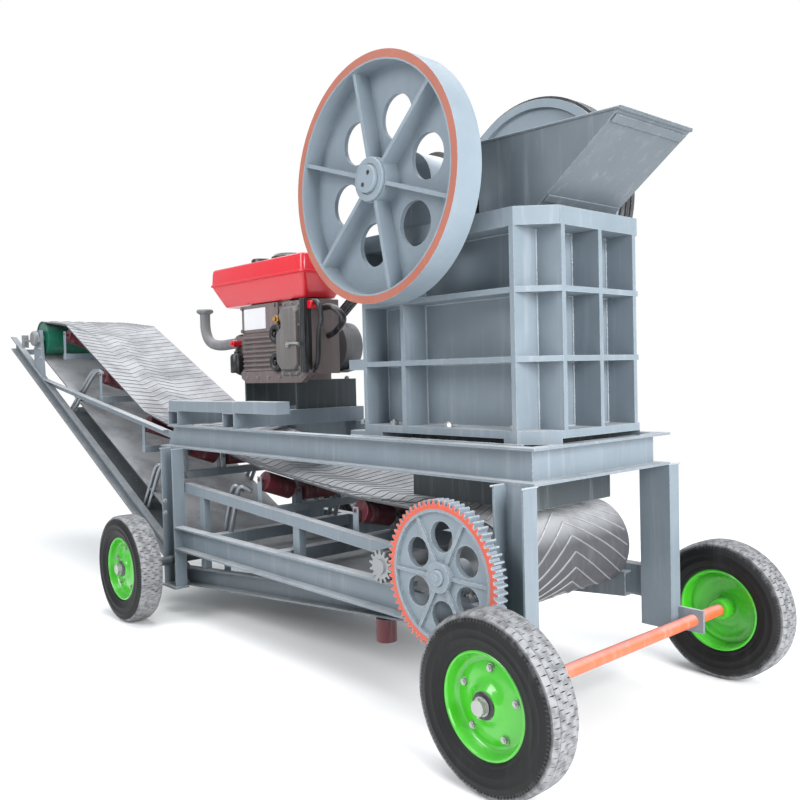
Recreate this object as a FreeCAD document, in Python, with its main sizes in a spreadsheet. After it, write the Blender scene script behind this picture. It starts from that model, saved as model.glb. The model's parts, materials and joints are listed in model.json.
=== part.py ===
"""Wheeled jaw crusher with its own diesel engine and discharge conveyor.

Millimetres, +Z up, ground at Z 0.  +X points to the feed end and the machine
is centred on Y 0, with the gear side at -Y.  Every place below is written from
the feed end of the top frame; shift_x then moves the whole machine so that the
origin lies on the ground under the middle of its overall length.
"""
import FreeCAD, Part
import Sketcher
import math
import os

# ---------------------------------------------------------------- sizes
SIZES = {
    # top frame of channel
    "frame_long": 2620, "frame_wide": 830, "frame_top": 1020,
    "beam_high": 126, "beam_flange": 53, "beam_web": 6, "beam_skin": 9,
    "beam_slant": 100, "cross_beam_x": -990, "cross_beam_wide": 60,
    # legs and lower rails
    "leg_wide": 135, "leg_deep": 68, "leg_web": 8, "leg_inset": 10,
    "front_leg_foot": 240, "rear_leg_foot": 142, "rear_leg_x": -2468,
    "foot_pad": 12, "rail_top": 472, "rail_high": 126,
    "lower_tie_tube": 60, "lower_tie_x": -1500, "lower_tie_far_x": -2100,
    # jaws
    "jaw_play": 6, "jaw_plate": 70, "jaw_plate_top": 45, "jaw_below_rim": 80,
    "jaw_mouth": 215, "jaw_foot": 60, "swing_head_wall": 95, "swing_foot_thick": 70,
    # shaft bearings
    "bearing_half": 175, "bearing_foot": 45, "bearing_waist": 120, "bearing_wall": 75,
    # power unit details
    "base_wall": 12, "base_deck": 14, "case_deep": 230, "saddle_inset": 60, "saddle_lip": 20,
    "crank_bore": 35, "cover_thick": 28, "cover_rear": 30, "cover_front": 150, "cover_foot": 25,
    "head_long": 120, "head_deep": 170, "head_tall": 200, "head_near": 30, "head_foot": 60,
    "spin_disc": 178, "spin_disc_wide": 70, "spin_hub": 45, "spin_end": 60,
    "exhaust_run": 70, "exhaust_bend": 150, "exhaust_rise": 30, "exhaust_radius": 38,
    "exhaust_wall": 5,
    # running gear
    "tyre_radius": 280, "tyre_wide": 140, "rim_radius": 165, "rim_wall": 6,
    "hub_radius": 38, "hub_bore": 24, "axle_radius": 23.5, "axle_front_x": 62,
    "track_half": 700, "axle_plate": 90, "axle_plate_thick": 12,
    # crusher body
    "body_front": -21, "body_rear": -958, "body_wide": 691, "wall_gap": 447,
    "body_wall": 30, "corner_cut": 110, "body_foot": 20, "base_skin": 28,
    "base_rail_end": -1055, "base_rail_front": -850, "base_toe": 60, "base_rail_wide": 110,
    "rib_low": 296, "rib_high": 536, "rib_skin": 20, "body_high": 818,
    "top_skin": 64, "side_rib_x": -131, "side_rib_rear_x": -701,
    "end_wall_set": 119, "skirt_rear": -800, "skirt_foot": 775,
    # shaft and flywheels
    "shaft_x": -678, "shaft_z": 2007, "shaft_radius": 55, "wheel_radius": 465,
    "wheel_wide": 118, "wheel_face": 523, "rim_deep": 36, "web_thick": 18,
    "spoke_wide": 15, "web_set_back": 20, "hole_radius": 84, "hole_circle": 242, "boss_radius": 85,
    # hopper
    "hopper_wide": 440, "hopper_skin": 8, "hopper_top": 2115,
    "hopper_front": 222, "hopper_foot": -145, "hopper_back": -402,
    # tail drum, gears and countershaft
    "tail_x": -325, "tail_z": 565, "drum_radius": 165, "belt_wide": 700,
    "belt_thick": 10, "roller_radius": 50, "gear_module": 8, "gear_teeth": 66, "pinion_teeth": 14,
    "gear_wide": 50, "gear_face": 545, "counter_rise": -12, "stub_radius": 28,
    "small_pulley": 100, "counter_pulley": 150, "drive_plane": 555,
    # conveyor
    "head_x": -4780, "head_z": 1600, "head_radius": 120, "chord_end_x": -5355,
    "chord_high": 100, "chord_flange": 43, "chord_inset": 15,
    "bend_x": -2520, "bend_top": 235, "chord_tail_x": -180,
    "stay_top": 968, "stay_rise": 0.16, "stay_leg": 42,
    "belt_rail_front": -720, "belt_rail_rear": -2600, "belt_rail_top": 595,
    "belt_rail_rise": 0.0614, "belt_rail_high": 50,
    # power unit
    "tube_size": 78, "tube_rear_x": -2613, "tube_front_x": -2016,
    "engine_near": -15, "engine_long": 520, "engine_x": -1930,
    "base_high": 155, "crank_high": 400, "crank_deep": 400, "crank_x": -2170,
    "crank_z": 1440, "engine_pulley": 140,
    "tank_long": 950, "tank_deep": 330, "tank_high": 225, "tank_x": -1770,
    # running clearances
    "slip": 0.5, "seat": 0.3,
}


class Size:
    """A length that carries its number and the sheet expression behind it."""

    def __init__(self, number, text):
        self.number = float(number)
        self.text = text

    def combine(self, other, sign, number):
        return Size(number, f"({self.text} {sign} {other.text})")

    def __add__(self, other):
        other = sized(other)
        return self.combine(other, "+", self.number + other.number)

    def __sub__(self, other):
        other = sized(other)
        return self.combine(other, "-", self.number - other.number)

    def __mul__(self, other):
        other = sized(other)
        return self.combine(other, "*", self.number * other.number)

    def __truediv__(self, other):
        other = sized(other)
        return self.combine(other, "/", self.number / other.number)

    def __radd__(self, other):
        return sized(other) + self

    def __rsub__(self, other):
        return sized(other) - self

    def __rmul__(self, other):
        return sized(other) * self

    def __neg__(self):
        return sized(0) - self

    def __float__(self):
        return self.number


def sized(value):
    """Wrap a plain number so that it can stand in a bound expression."""
    return value if isinstance(value, Size) else Size(value, f"({float(value)})")


doc = FreeCAD.newDocument("JawCrusher")
sheet = doc.addObject("Spreadsheet::Sheet", "Sizes")
for row, (alias, number) in enumerate(SIZES.items(), 1):
    sheet.set(f"A{row}", alias)
    sheet.set(f"B{row}", str(number))
    sheet.setAlias(f"B{row}", alias)
doc.recompute()


class Driving:
    """The sheet's cells as Size values: driving.frame_top and so on."""


driving = Driving()
for alias, number in SIZES.items():
    setattr(driving, alias, Size(number, f"Sizes.{alias}"))
d = driving

# ---------------------------------------------------------------- shared places
shift_x = (d.axle_front_x + d.tyre_radius + d.chord_end_x) / -2
edge_y = d.frame_wide / 2
beam_foot = d.frame_top - d.beam_high
leg_out = edge_y + d.leg_deep - d.leg_inset
leg_in = edge_y - d.leg_inset
rail_foot = d.rail_top - d.rail_high
body_half = d.body_wide / 2
wall_out = d.wall_gap / 2
body_foot_z = d.frame_top + d.body_foot
body_top_z = d.frame_top + d.body_high
front_wall_x = d.body_front - d.end_wall_set
rear_leg_mid = d.rear_leg_x - d.leg_wide / 2
gear_radius = d.gear_module * d.gear_teeth / 2
pinion_radius = d.gear_module * d.pinion_teeth / 2
gear_spread = gear_radius + pinion_radius
counter_x = d.tail_x - (gear_spread * gear_spread - d.counter_rise * d.counter_rise).number ** 0.5
counter_z = d.tail_z + d.counter_rise
chord_out = edge_y - d.chord_inset
chord_in = chord_out - d.chord_flange
belt_half = d.belt_wide / 2
tank_foot = d.frame_top + d.tube_size + d.base_high + d.crank_high + 30
base_foot = d.frame_top + d.tube_size

pieces = {}
SIDES = (("near", -1), ("far", 1))


# ---------------------------------------------------------------- helpers
def bind(thing, **places):
    """Bind properties, written with __ for the dots, to sheet expressions."""
    for name, value in places.items():
        thing.setExpression(name.replace("__", "."), sized(value).text)


def place(thing, x=0, y=0, z=0):
    """Bind a piece's position, written from the frame's feed end."""
    bind(thing, Placement__Base__x=sized(x) + shift_x, Placement__Base__y=y,
         Placement__Base__z=z)


def span(first, second):
    """Return the lower end and the length between two places."""
    if float(first) > float(second):
        first, second = second, first
    return sized(first), sized(second) - first


def block(name, x, y, z):
    """A box between two places along each axis."""
    box = doc.addObject("Part::Box", name)
    (x0, long), (y0, wide), (z0, high) = span(*x), span(*y), span(*z)
    bind(box, Length=long, Width=wide, Height=high)
    place(box, x0, y0, z0)
    return box


def rod(name, radius, x, y, z, axis="y"):
    """A cylinder along one axis; that axis is given as a pair of places."""
    turn = {"x": ((0, 1, 0), 90), "y": ((1, 0, 0), -90), "z": ((0, 0, 1), 0)}[axis]
    cylinder = doc.addObject("Part::Cylinder", name)
    cylinder.Placement = FreeCAD.Placement(
        FreeCAD.Vector(), FreeCAD.Rotation(FreeCAD.Vector(*turn[0]), turn[1]))
    along, long = span(*{"x": x, "y": y, "z": z}[axis])
    centre = {"x": x, "y": y, "z": z}
    centre[axis] = along
    bind(cylinder, Radius=radius, Height=long)
    place(cylinder, **centre)
    return cylinder


def fuse(name, parts):
    """Join overlapping or touching shapes into one weldment."""
    joined = doc.addObject("Part::MultiFuse", name)
    joined.Shapes = parts
    joined.Refine = True
    return joined


def cut(name, base, tools):
    """Take one or more tools from a base."""
    tool = tools[0] if len(tools) == 1 else group(name + "_tools", tools)
    result = doc.addObject("Part::Cut", name)
    result.Base = base
    result.Tool = tool
    result.Refine = True
    return result


def group(name, parts):
    """Keep like solids that do not touch in one node."""
    compound = doc.addObject("Part::Compound", name)
    compound.Links = parts
    return compound


def common(name, first, second):
    """Keep what two shapes share, as for a mitred end."""
    result = doc.addObject("Part::Common", name)
    result.Base = first
    result.Tool = second
    return result


def plane_of(body, role):
    """Find one of a body's own origin planes or axes."""
    return next(item for item in body.Origin.OriginFeatures if item.Role == role)


def sketch_on(body, role, name):
    sketch = body.newObject("Sketcher::SketchObject", name)
    sketch.AttachmentSupport = [(plane_of(body, role), "")]
    sketch.MapMode = "FlatFace"
    return sketch


def outline(sketch, points):
    """Close a polygon; every corner is held by dimensions from the origin."""
    count = len(points)
    corners = [FreeCAD.Vector(float(x), float(y), 0) for x, y in points]
    sketch.addGeometry([Part.LineSegment(corners[i], corners[(i + 1) % count])
                        for i in range(count)], False)
    rules = [Sketcher.Constraint("Coincident", i, 2, (i + 1) % count, 1) for i in range(count)]
    for i, (x, y) in enumerate(points):
        rules.append(Sketcher.Constraint("DistanceX", -1, 1, i, 1, float(x)))
        rules.append(Sketcher.Constraint("DistanceY", -1, 1, i, 1, float(y)))
    sketch.addConstraint(rules)
    for i, (x, y) in enumerate(points):
        sketch.setExpression(f"Constraints[{count + 2 * i}]", sized(x).text)
        sketch.setExpression(f"Constraints[{count + 2 * i + 1}]", sized(y).text)


def prism(name, role, points, length):
    """A body padded from an outline on one of its own planes."""
    body = doc.addObject("PartDesign::Body", name)
    sketch = sketch_on(body, role, name + "_outline")
    outline(sketch, points)
    pad = body.newObject("PartDesign::Pad", name + "_pad")
    pad.Profile = sketch
    bind(pad, Length=length)
    return body


def side_plate(name, points, y):
    """A plate cut in the XZ plane that fills a stretch of Y."""
    low, thick = span(*y)
    body = prism(name, "XZ_Plane", points, thick)
    place(body, 0, low + thick, 0)
    return body


def floor_plate(name, points, z):
    """A plate cut in the XY plane that fills a stretch of Z."""
    low, thick = span(*z)
    body = prism(name, "XY_Plane", points, thick)
    place(body, 0, 0, low)
    return body


def long_section(name, points, x):
    """A section drawn in the YZ plane that fills a stretch of X."""
    low, long = span(*x)
    body = prism(name, "YZ_Plane", points, long)
    place(body, low, 0, 0)
    return body


def turned(name, profile, x, z):
    """A body turned about the Y direction; profile corners are (y, radius)."""
    body = doc.addObject("PartDesign::Body", name)
    sketch = sketch_on(body, "YZ_Plane", name + "_profile")
    outline(sketch, profile)
    spin = body.newObject("PartDesign::Revolution", name + "_turn")
    spin.Profile = sketch
    spin.ReferenceAxis = (sketch, ["H_Axis"])
    spin.Angle = 360
    place(body, x, 0, z)
    return body


def ring_of_spokes(body, count, points, y, start):
    """Pad one spoke on a turned body and repeat it about its axis."""
    sketch = sketch_on(body, "XZ_Plane", body.Name + "_spoke")
    low, thick = span(*y)
    outline(sketch, [(x * math.cos(start) - z * math.sin(start),
                      x * math.sin(start) + z * math.cos(start)) for x, z in points])
    sketch.setExpression("AttachmentOffset.Base.z", (-(low + thick)).text)
    pad = body.newObject("PartDesign::Pad", body.Name + "_spoke_pad")
    pad.Profile = sketch
    bind(pad, Length=thick)
    pattern = body.newObject("PartDesign::PolarPattern", body.Name + "_spokes")
    pattern.Originals = [pad]
    pattern.Axis = (plane_of(body, "Y_Axis"), [""])
    pattern.Angle = 360
    pattern.Occurrences = count
    body.Tip = pattern


def solid_feature(name, shape, x=0, y=0, z=0):
    """Hold a shape made by Part's own functions, placed after it is set."""
    feature = doc.addObject("Part::Feature", name)
    feature.Shape = shape
    feature.Placement = FreeCAD.Placement(
        FreeCAD.Vector(float(x) + shift_x.number, float(y), float(z)), FreeCAD.Rotation())
    return feature


def piece(name, thing):
    """Name a finished sub-part and put it on the list to be written."""
    thing.Label = name
    pieces[name] = thing
    return thing


# ---------------------------------------------------------------- top frame
def channel(name, side, x, z_foot, high, depth, web, skin, y_out):
    """A channel along X with its flanges pointing away from the machine."""
    y_in = y_out - depth
    top = z_foot + high
    corners = [(y_out, z_foot), (y_out, z_foot + skin), (y_in + web, z_foot + skin),
               (y_in + web, top - skin), (y_out, top - skin), (y_out, top),
               (y_in, top), (y_in, z_foot)]
    return long_section(name, [(side * sized(y), z) for y, z in corners], x)


def top_frame():
    inner = edge_y - d.beam_flange
    rear = -d.frame_long - d.beam_slant
    for label, side in SIDES:
        raw = channel(f"beam_{label}_raw", side, (rear, 0), beam_foot, d.beam_high,
                      d.beam_flange, d.beam_web, d.beam_skin, edge_y)
        mitre = floor_plate(f"beam_{label}_mitre", [
            (rear - 10, side * edge_y), (0, side * edge_y),
            (-d.beam_flange, side * inner), (rear - 10, side * inner)],
            (beam_foot - 5, d.frame_top + 5))
        slant = side_plate(f"beam_{label}_slant", [
            (rear - 20, beam_foot - 1), (rear, beam_foot - 1),
            (rear + d.beam_slant, d.frame_top + 1), (rear - 20, d.frame_top + 1)],
            (side * (inner - 5), side * (edge_y + 5)))
        mitred = common(f"beam_{label}_mitred", raw, mitre)
        piece(f"frame_beam_{label}", cut(f"frame_beam_{label}", mitred, [slant]))

    flange = d.beam_flange
    section = [(0, beam_foot), (0, beam_foot + d.beam_skin),
               (d.beam_web - flange, beam_foot + d.beam_skin),
               (d.beam_web - flange, d.frame_top - d.beam_skin),
               (0, d.frame_top - d.beam_skin), (0, d.frame_top),
               (-flange, d.frame_top), (-flange, beam_foot)]
    raw = side_plate("beam_front_raw", section, (-edge_y, edge_y))
    mitre = floor_plate("beam_front_mitre", [
        (0, -edge_y), (0, edge_y), (-flange, inner), (-flange, -inner)],
        (beam_foot - 5, d.frame_top + 5))
    piece("frame_beam_front", common("frame_beam_front", raw, mitre))
    half = d.cross_beam_wide / 2
    piece("frame_cross_beam", block("frame_cross_beam", (d.cross_beam_x - half, d.cross_beam_x + half),
                                    (-inner, inner), (beam_foot, d.frame_top)))


# ---------------------------------------------------------------- legs and rails
def leg(name, side, x_face, foot):
    """An upright channel whose flanges point out from the machine."""
    rear = x_face - d.leg_wide
    corners = [(x_face, leg_out), (x_face - d.leg_web, leg_out),
               (x_face - d.leg_web, leg_in + d.leg_web), (rear + d.leg_web, leg_in + d.leg_web),
               (rear + d.leg_web, leg_out), (rear, leg_out), (rear, leg_in), (x_face, leg_in)]
    return floor_plate(name, [(x, side * y) for x, y in corners], (foot, beam_foot))


def axle_plate(name, side):
    """The plate that carries one end of the front axle ahead of its leg."""
    plate_out = leg_out - 6
    plate_in = plate_out - d.axle_plate_thick
    half = d.axle_plate / 2
    plate = block(f"{name}_raw", (0, d.axle_front_x + half), (side * plate_in, side * plate_out),
                  (d.tyre_radius - half, d.tyre_radius + half))
    hole = rod(f"{name}_hole", d.axle_radius + d.seat, d.axle_front_x,
               (side * (plate_in - 5), side * (plate_out + 5)), d.tyre_radius)
    return cut(name, plate, [hole])


def legs_and_rails():
    for label, side in SIDES:
        front_x = sized(0)
        upright = leg(f"leg_front_{label}_upright", side, front_x, d.front_leg_foot)
        plate = axle_plate(f"axle_plate_{label}", side)
        piece(f"leg_front_{label}", fuse(f"leg_front_{label}", [upright, plate]))
        upright = leg(f"leg_rear_{label}_upright", side, d.rear_leg_x, d.rear_leg_foot)
        hole = rod(f"leg_rear_{label}_hole", d.axle_radius + d.seat, rear_leg_mid,
                   (side * (leg_in - 5), side * (leg_out + 5)), d.tyre_radius)
        drilled = cut(f"leg_rear_{label}_drilled", upright, [hole])
        pad = block(f"foot_pad_{label}", (d.rear_leg_x - d.leg_wide - 10, d.rear_leg_x + 10),
                    (side * (leg_in - 5), side * (leg_out + 10)),
                    (d.rear_leg_foot - d.foot_pad, d.rear_leg_foot))
        piece(f"leg_rear_{label}", fuse(f"leg_rear_{label}", [drilled, pad]))
        rail = channel(f"lower_rail_{label}", side, (d.rear_leg_x, -d.leg_wide), rail_foot,
                       d.rail_high, d.beam_flange, d.beam_web, d.beam_skin, leg_out)
        piece(f"lower_rail_{label}", rail)

    reach = leg_out - d.beam_flange
    ties = []
    for index, x in enumerate((d.lower_tie_x, d.lower_tie_far_x)):
        half = d.lower_tie_tube / 2
        ties.append(block(f"lower_tie_{index}", (x - half, x + half), (-reach, reach),
                          (d.rail_top - d.lower_tie_tube, d.rail_top)))
    return ties


# ---------------------------------------------------------------- running gear
def running_gear():
    hub_out = d.track_half + d.tyre_wide / 2 - 18
    hub_in = d.track_half - d.tyre_wide / 2 + 18
    for end, x in (("front", d.axle_front_x), ("rear", rear_leg_mid)):
        bar = rod(f"axle_{end}_bar", d.axle_radius, x, (-(hub_in - 6), hub_in - 6), d.tyre_radius)
        stub = rod(f"axle_{end}_stub", d.hub_bore - d.slip, x, (-(hub_out + 24), hub_out + 24),
                   d.tyre_radius)
        piece(f"axle_{end}", fuse(f"axle_{end}", [bar, stub]))
        for label, side in SIDES:
            wheel(f"{end}_{label}", side, x, hub_in, hub_out)


def wheel(name, side, x, hub_in, hub_out):
    """A solid tyre on a dished disc rim with a plain hub."""
    mid = d.track_half
    half = d.tyre_wide / 2
    rim_half = half - 20
    shoulder = d.tyre_radius - 22
    bead = d.rim_radius + d.seat
    tyre = [(mid - rim_half + 4, bead), (mid - half, bead + 22), (mid - half, shoulder),
            (mid - half + 24, d.tyre_radius), (mid + half - 24, d.tyre_radius),
            (mid + half, shoulder), (mid + half, bead + 22), (mid + rim_half - 4, bead)]
    piece(f"tyre_{name}", turned(f"tyre_{name}", [(side * y, r) for y, r in tyre], x, d.tyre_radius))
    lip = d.rim_radius - d.rim_wall
    dish = mid + 6
    profile = [(hub_in, d.hub_bore), (hub_out, d.hub_bore), (hub_out, d.hub_radius),
               (dish + 14, d.hub_radius), (dish + 14, d.hub_radius + 22),
               (dish - 8, lip - 34), (dish - 8, lip), (mid + rim_half, lip),
               (mid + rim_half, d.rim_radius), (mid - rim_half, d.rim_radius),
               (mid - rim_half, lip), (dish - 16, lip), (dish - 16, lip - 34),
               (dish + 6, d.hub_radius + 22), (dish + 6, d.hub_radius), (hub_in, d.hub_radius)]
    piece(f"rim_{name}", turned(f"rim_{name}", [(side * y, r) for y, r in profile], x, d.tyre_radius))


# ---------------------------------------------------------------- crusher body
def shelf_levels():
    """The four shelves round the body, as pairs of heights."""
    top = d.frame_top
    return (("base", top + d.body_foot, top + d.body_foot + d.base_skin),
            ("low", top + d.rib_low - d.rib_skin / 2, top + d.rib_low + d.rib_skin / 2),
            ("high", top + d.rib_high - d.rib_skin / 2, top + d.rib_high + d.rib_skin / 2),
            ("top", body_top_z - d.top_skin, body_top_z))


def body_side(label, side):
    """One side wall with its shelves, uprights and cut front corner."""
    parts = [block(f"side_{label}_wall", (d.body_rear, front_wall_x - d.body_wall),
                   (side * (wall_out - d.body_wall), side * wall_out), (body_foot_z, body_top_z))]
    for level, low, high in shelf_levels():
        corners = [(d.body_rear, wall_out - 0), (d.body_rear, body_half),
                   (d.body_front - d.corner_cut, body_half),
                   (d.body_front, body_half - d.corner_cut), (d.body_front, wall_out)]
        parts.append(floor_plate(f"side_{label}_{level}_shelf",
                                 [(x, side * y) for x, y in corners], (low, high)))
    for index, x in enumerate((d.side_rib_x, d.side_rib_rear_x, d.body_rear + d.rib_skin)):
        parts.append(block(f"side_{label}_upright_{index}", (x - d.rib_skin, x),
                           (side * wall_out, side * body_half), (body_foot_z, body_top_z)))
    reach = body_half - d.base_rail_wide
    parts.append(block(f"side_{label}_base_rail", (d.base_rail_end, d.base_rail_front),
                       (side * reach, side * body_half), (d.frame_top, body_foot_z)))
    toe_rear = d.body_front - d.corner_cut - d.base_toe
    toe = [(toe_rear, body_half), (d.body_front - d.corner_cut, body_half),
           (d.body_front, body_half - d.corner_cut), (toe_rear, body_half - d.corner_cut)]
    parts.append(floor_plate(f"side_{label}_base_toe", [(x, side * y) for x, y in toe],
                             (d.frame_top, body_foot_z)))
    piece(f"body_side_{label}", fuse(f"body_side_{label}", parts))


def body_end(name, x_wall, x_out, uprights, reach):
    """An end wall with shelves between the two side walls' planes."""
    inward = d.body_wall if float(x_out) > float(x_wall) else -d.body_wall
    parts = [block(f"{name}_wall", (x_wall, x_wall - inward), (-reach, reach),
                   (body_foot_z, body_top_z))]
    for level, low, high in shelf_levels():
        parts.append(block(f"{name}_{level}_shelf", (x_wall, x_out), (-reach, reach), (low, high)))
    for index, y in enumerate(uprights):
        parts.append(block(f"{name}_upright_{index}", (x_wall, x_out),
                           (y - d.rib_skin / 2, y + d.rib_skin / 2), (body_foot_z, body_top_z)))
    return fuse(name, parts)


def crusher_body():
    for label, side in SIDES:
        body_side(label, side)
    third = wall_out - d.rib_skin / 2
    piece("body_front_wall", body_end("body_front_wall", front_wall_x, d.body_front,
                                      (-third, sized(0), third), wall_out))
    inside = wall_out - d.body_wall
    rear_wall = block("body_rear_plate", (d.body_rear, d.body_rear + d.body_wall),
                      (-inside, inside), (body_foot_z, d.frame_top + d.rib_high))
    seat_z = d.frame_top + d.rib_low
    seat_block = block("toggle_seat", (d.body_rear - 95, d.body_rear), (-body_half, body_half),
                       (seat_z - 22, seat_z + 22))
    piece("body_rear_wall", fuse("body_rear_wall", [rear_wall, seat_block]))
    skirt()


def skirt():
    """A square chute that hangs from the body and leads the stone to the belt."""
    rear, front = d.skirt_rear, front_wall_x - 10
    foot = d.skirt_foot
    outer = block("skirt_outer", (rear, front), (-wall_out, wall_out), (foot, body_foot_z))
    inner = block("skirt_inner", (rear + d.hopper_skin, front - d.hopper_skin),
                  (d.hopper_skin - wall_out, wall_out - d.hopper_skin), (foot - 5, body_foot_z + 5))
    piece("discharge_skirt", cut("discharge_skirt", outer, [inner]))


def jaws():
    inside = wall_out - d.body_wall - d.jaw_play
    jaw_back = front_wall_x - d.body_wall
    foot = body_foot_z + d.jaw_foot
    plate_top = body_top_z - d.jaw_below_rim
    fixed = side_plate("fixed_jaw", [
        (jaw_back, foot), (jaw_back - d.jaw_plate, foot),
        (jaw_back - d.jaw_plate_top, plate_top), (jaw_back, plate_top)], (-inside, inside))
    piece("fixed_jaw", fixed)

    head = rod("swing_head", d.shaft_radius + d.swing_head_wall, d.shaft_x, (-inside, inside), d.shaft_z)
    mouth = jaw_back - d.jaw_plate - d.jaw_mouth
    swing = side_plate("swing_plate", [
        (d.shaft_x + 60, d.shaft_z - 30), (d.shaft_x - 130, d.shaft_z - 40),
        (mouth - 150, d.frame_top + 330), (mouth + 60, foot + 40),
        (mouth + 60 + d.swing_foot_thick, foot + 40),
        (mouth + 10, body_top_z - 60)], (-inside, inside))
    bore = rod("swing_bore", d.shaft_radius + d.slip, d.shaft_x,
               (-(inside + 5), inside + 5), d.shaft_z)
    piece("swing_jaw", cut("swing_jaw", fuse("swing_jaw_solid", [head, swing]), [bore]))


# ---------------------------------------------------------------- shaft and flywheels
def bearings():
    for label, side in SIDES:
        y_in = wall_out - d.body_wall
        y_out = body_half - 20
        foot = block(f"bearing_foot_{label}", (d.shaft_x - d.bearing_half, d.shaft_x + d.bearing_half),
                     (side * y_in, side * y_out), (body_top_z, body_top_z + d.bearing_foot))
        cap = rod(f"bearing_round_{label}", d.shaft_radius + d.bearing_wall, d.shaft_x,
                  (side * y_in, side * y_out), d.shaft_z)
        waist = block(f"bearing_waist_{label}", (d.shaft_x - d.bearing_waist, d.shaft_x + d.bearing_waist),
                      (side * y_in, side * y_out), (body_top_z + 20, d.shaft_z))
        bore = rod(f"bearing_bore_{label}", d.shaft_radius + d.slip, d.shaft_x,
                   (side * (y_in - 5), side * (y_out + 5)), d.shaft_z)
        joined = fuse(f"bearing_solid_{label}", [foot, cap, waist])
        piece(f"shaft_bearing_{label}", cut(f"shaft_bearing_{label}", joined, [bore]))


def flywheel(label, side):
    """A rim, a thin web with six lightening holes, six spokes and a boss."""
    out = d.wheel_face
    inner = out - d.wheel_wide
    rim = d.wheel_radius - d.rim_deep
    web_in = inner + d.web_set_back
    web_out = web_in + d.web_thick
    bore = d.shaft_radius + d.seat
    profile = [(inner, rim), (inner, d.wheel_radius), (out, d.wheel_radius), (out, rim),
               (web_out, rim), (web_out, d.boss_radius), (out - 8, d.boss_radius),
               (out - 8, bore), (inner + 6, bore), (inner + 6, d.boss_radius),
               (web_in, d.boss_radius), (web_in, rim)]
    body = turned(f"flywheel_{label}", [(side * y, r) for y, r in profile], d.shaft_x, d.shaft_z)
    half = d.spoke_wide / 2
    spoke = [(-half, d.boss_radius - 5), (half, d.boss_radius - 5), (half, rim + 5),
             (-half, rim + 5)]
    ring_of_spokes(body, 6, spoke, (side * web_out, side * (out - 10)), math.radians(12))
    return body


def rotor():
    for label, side in SIDES:
        body = flywheel(label, side)
        web = d.wheel_face - d.wheel_wide + d.web_set_back
        ring = []
        for index in range(6):
            turn = math.radians(60 * index + 18)
            ring.append(rod(f"flywheel_{label}_hole_{index}", d.hole_radius,
                            d.shaft_x + d.hole_circle * math.sin(turn),
                            (side * (web - 5), side * (web + d.web_thick + 5)),
                            d.shaft_z + d.hole_circle * math.cos(turn)))
        piece(f"flywheel_{label}", cut(f"flywheel_{label}_drilled", body, ring))
    end = d.wheel_face + 4
    drive_out = d.drive_plane + 22
    shaft = rod("crusher_shaft_bar", d.shaft_radius, d.shaft_x, (-end, drive_out), d.shaft_z)
    groove_out = d.drive_plane + 18
    pulley = rod("crusher_shaft_pulley", d.small_pulley, d.shaft_x,
                 (d.drive_plane - 18, groove_out), d.shaft_z)
    piece("crusher_shaft", fuse("crusher_shaft", [shaft, pulley]))


# ---------------------------------------------------------------- hopper
def hopper():
    half = d.hopper_wide / 2
    skin = d.hopper_skin
    top = d.hopper_top
    foot = body_top_z
    slope = [(d.hopper_foot, foot), (d.hopper_front, top), (d.hopper_front - skin * 1.6, top),
             (d.hopper_foot - skin * 1.6, foot)]
    sheets = [side_plate("hopper_chute", slope, (-half, half)),
              block("hopper_back", (d.hopper_back, d.hopper_back + skin), (-half, half), (foot, top))]
    cheek = [(d.hopper_back, foot), (d.hopper_foot, foot), (d.hopper_front, top),
             (d.hopper_back, top + 18)]
    for label, side in SIDES:
        sheets.append(side_plate(f"hopper_cheek_{label}", cheek,
                                 (side * (half - skin), side * half)))
    piece("hopper", fuse("hopper", sheets))


# ---------------------------------------------------------------- gears and drums
def toothed_wheel(teeth, module, thickness, bore, phase):
    """A spur gear blank with straight-flanked teeth, its axis along +Y."""
    pitch = module * teeth / 2
    root = pitch - 1.25 * module
    tip = pitch + 0.96 * module
    step = 2 * math.pi / teeth
    corners = []
    for tooth in range(teeth):
        middle = phase + tooth * step
        for radius, share in ((root, -0.33), (tip, -0.11), (tip, 0.11), (root, 0.33)):
            turn = middle + share * step
            corners.append(FreeCAD.Vector(radius * math.cos(turn), 0, radius * math.sin(turn)))
    corners.append(corners[0])
    disc = Part.Face(Part.makePolygon(corners)).extrude(FreeCAD.Vector(0, thickness, 0))
    hole = Part.makeCylinder(bore, thickness * 3, FreeCAD.Vector(0, -thickness, 0),
                             FreeCAD.Vector(0, 1, 0))
    return disc.cut(hole)


def mesh_angle():
    """Direction of the pinion's centre seen from the gear's centre."""
    return math.atan2(d.counter_rise.number, counter_x.number - d.tail_x.number)


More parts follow.
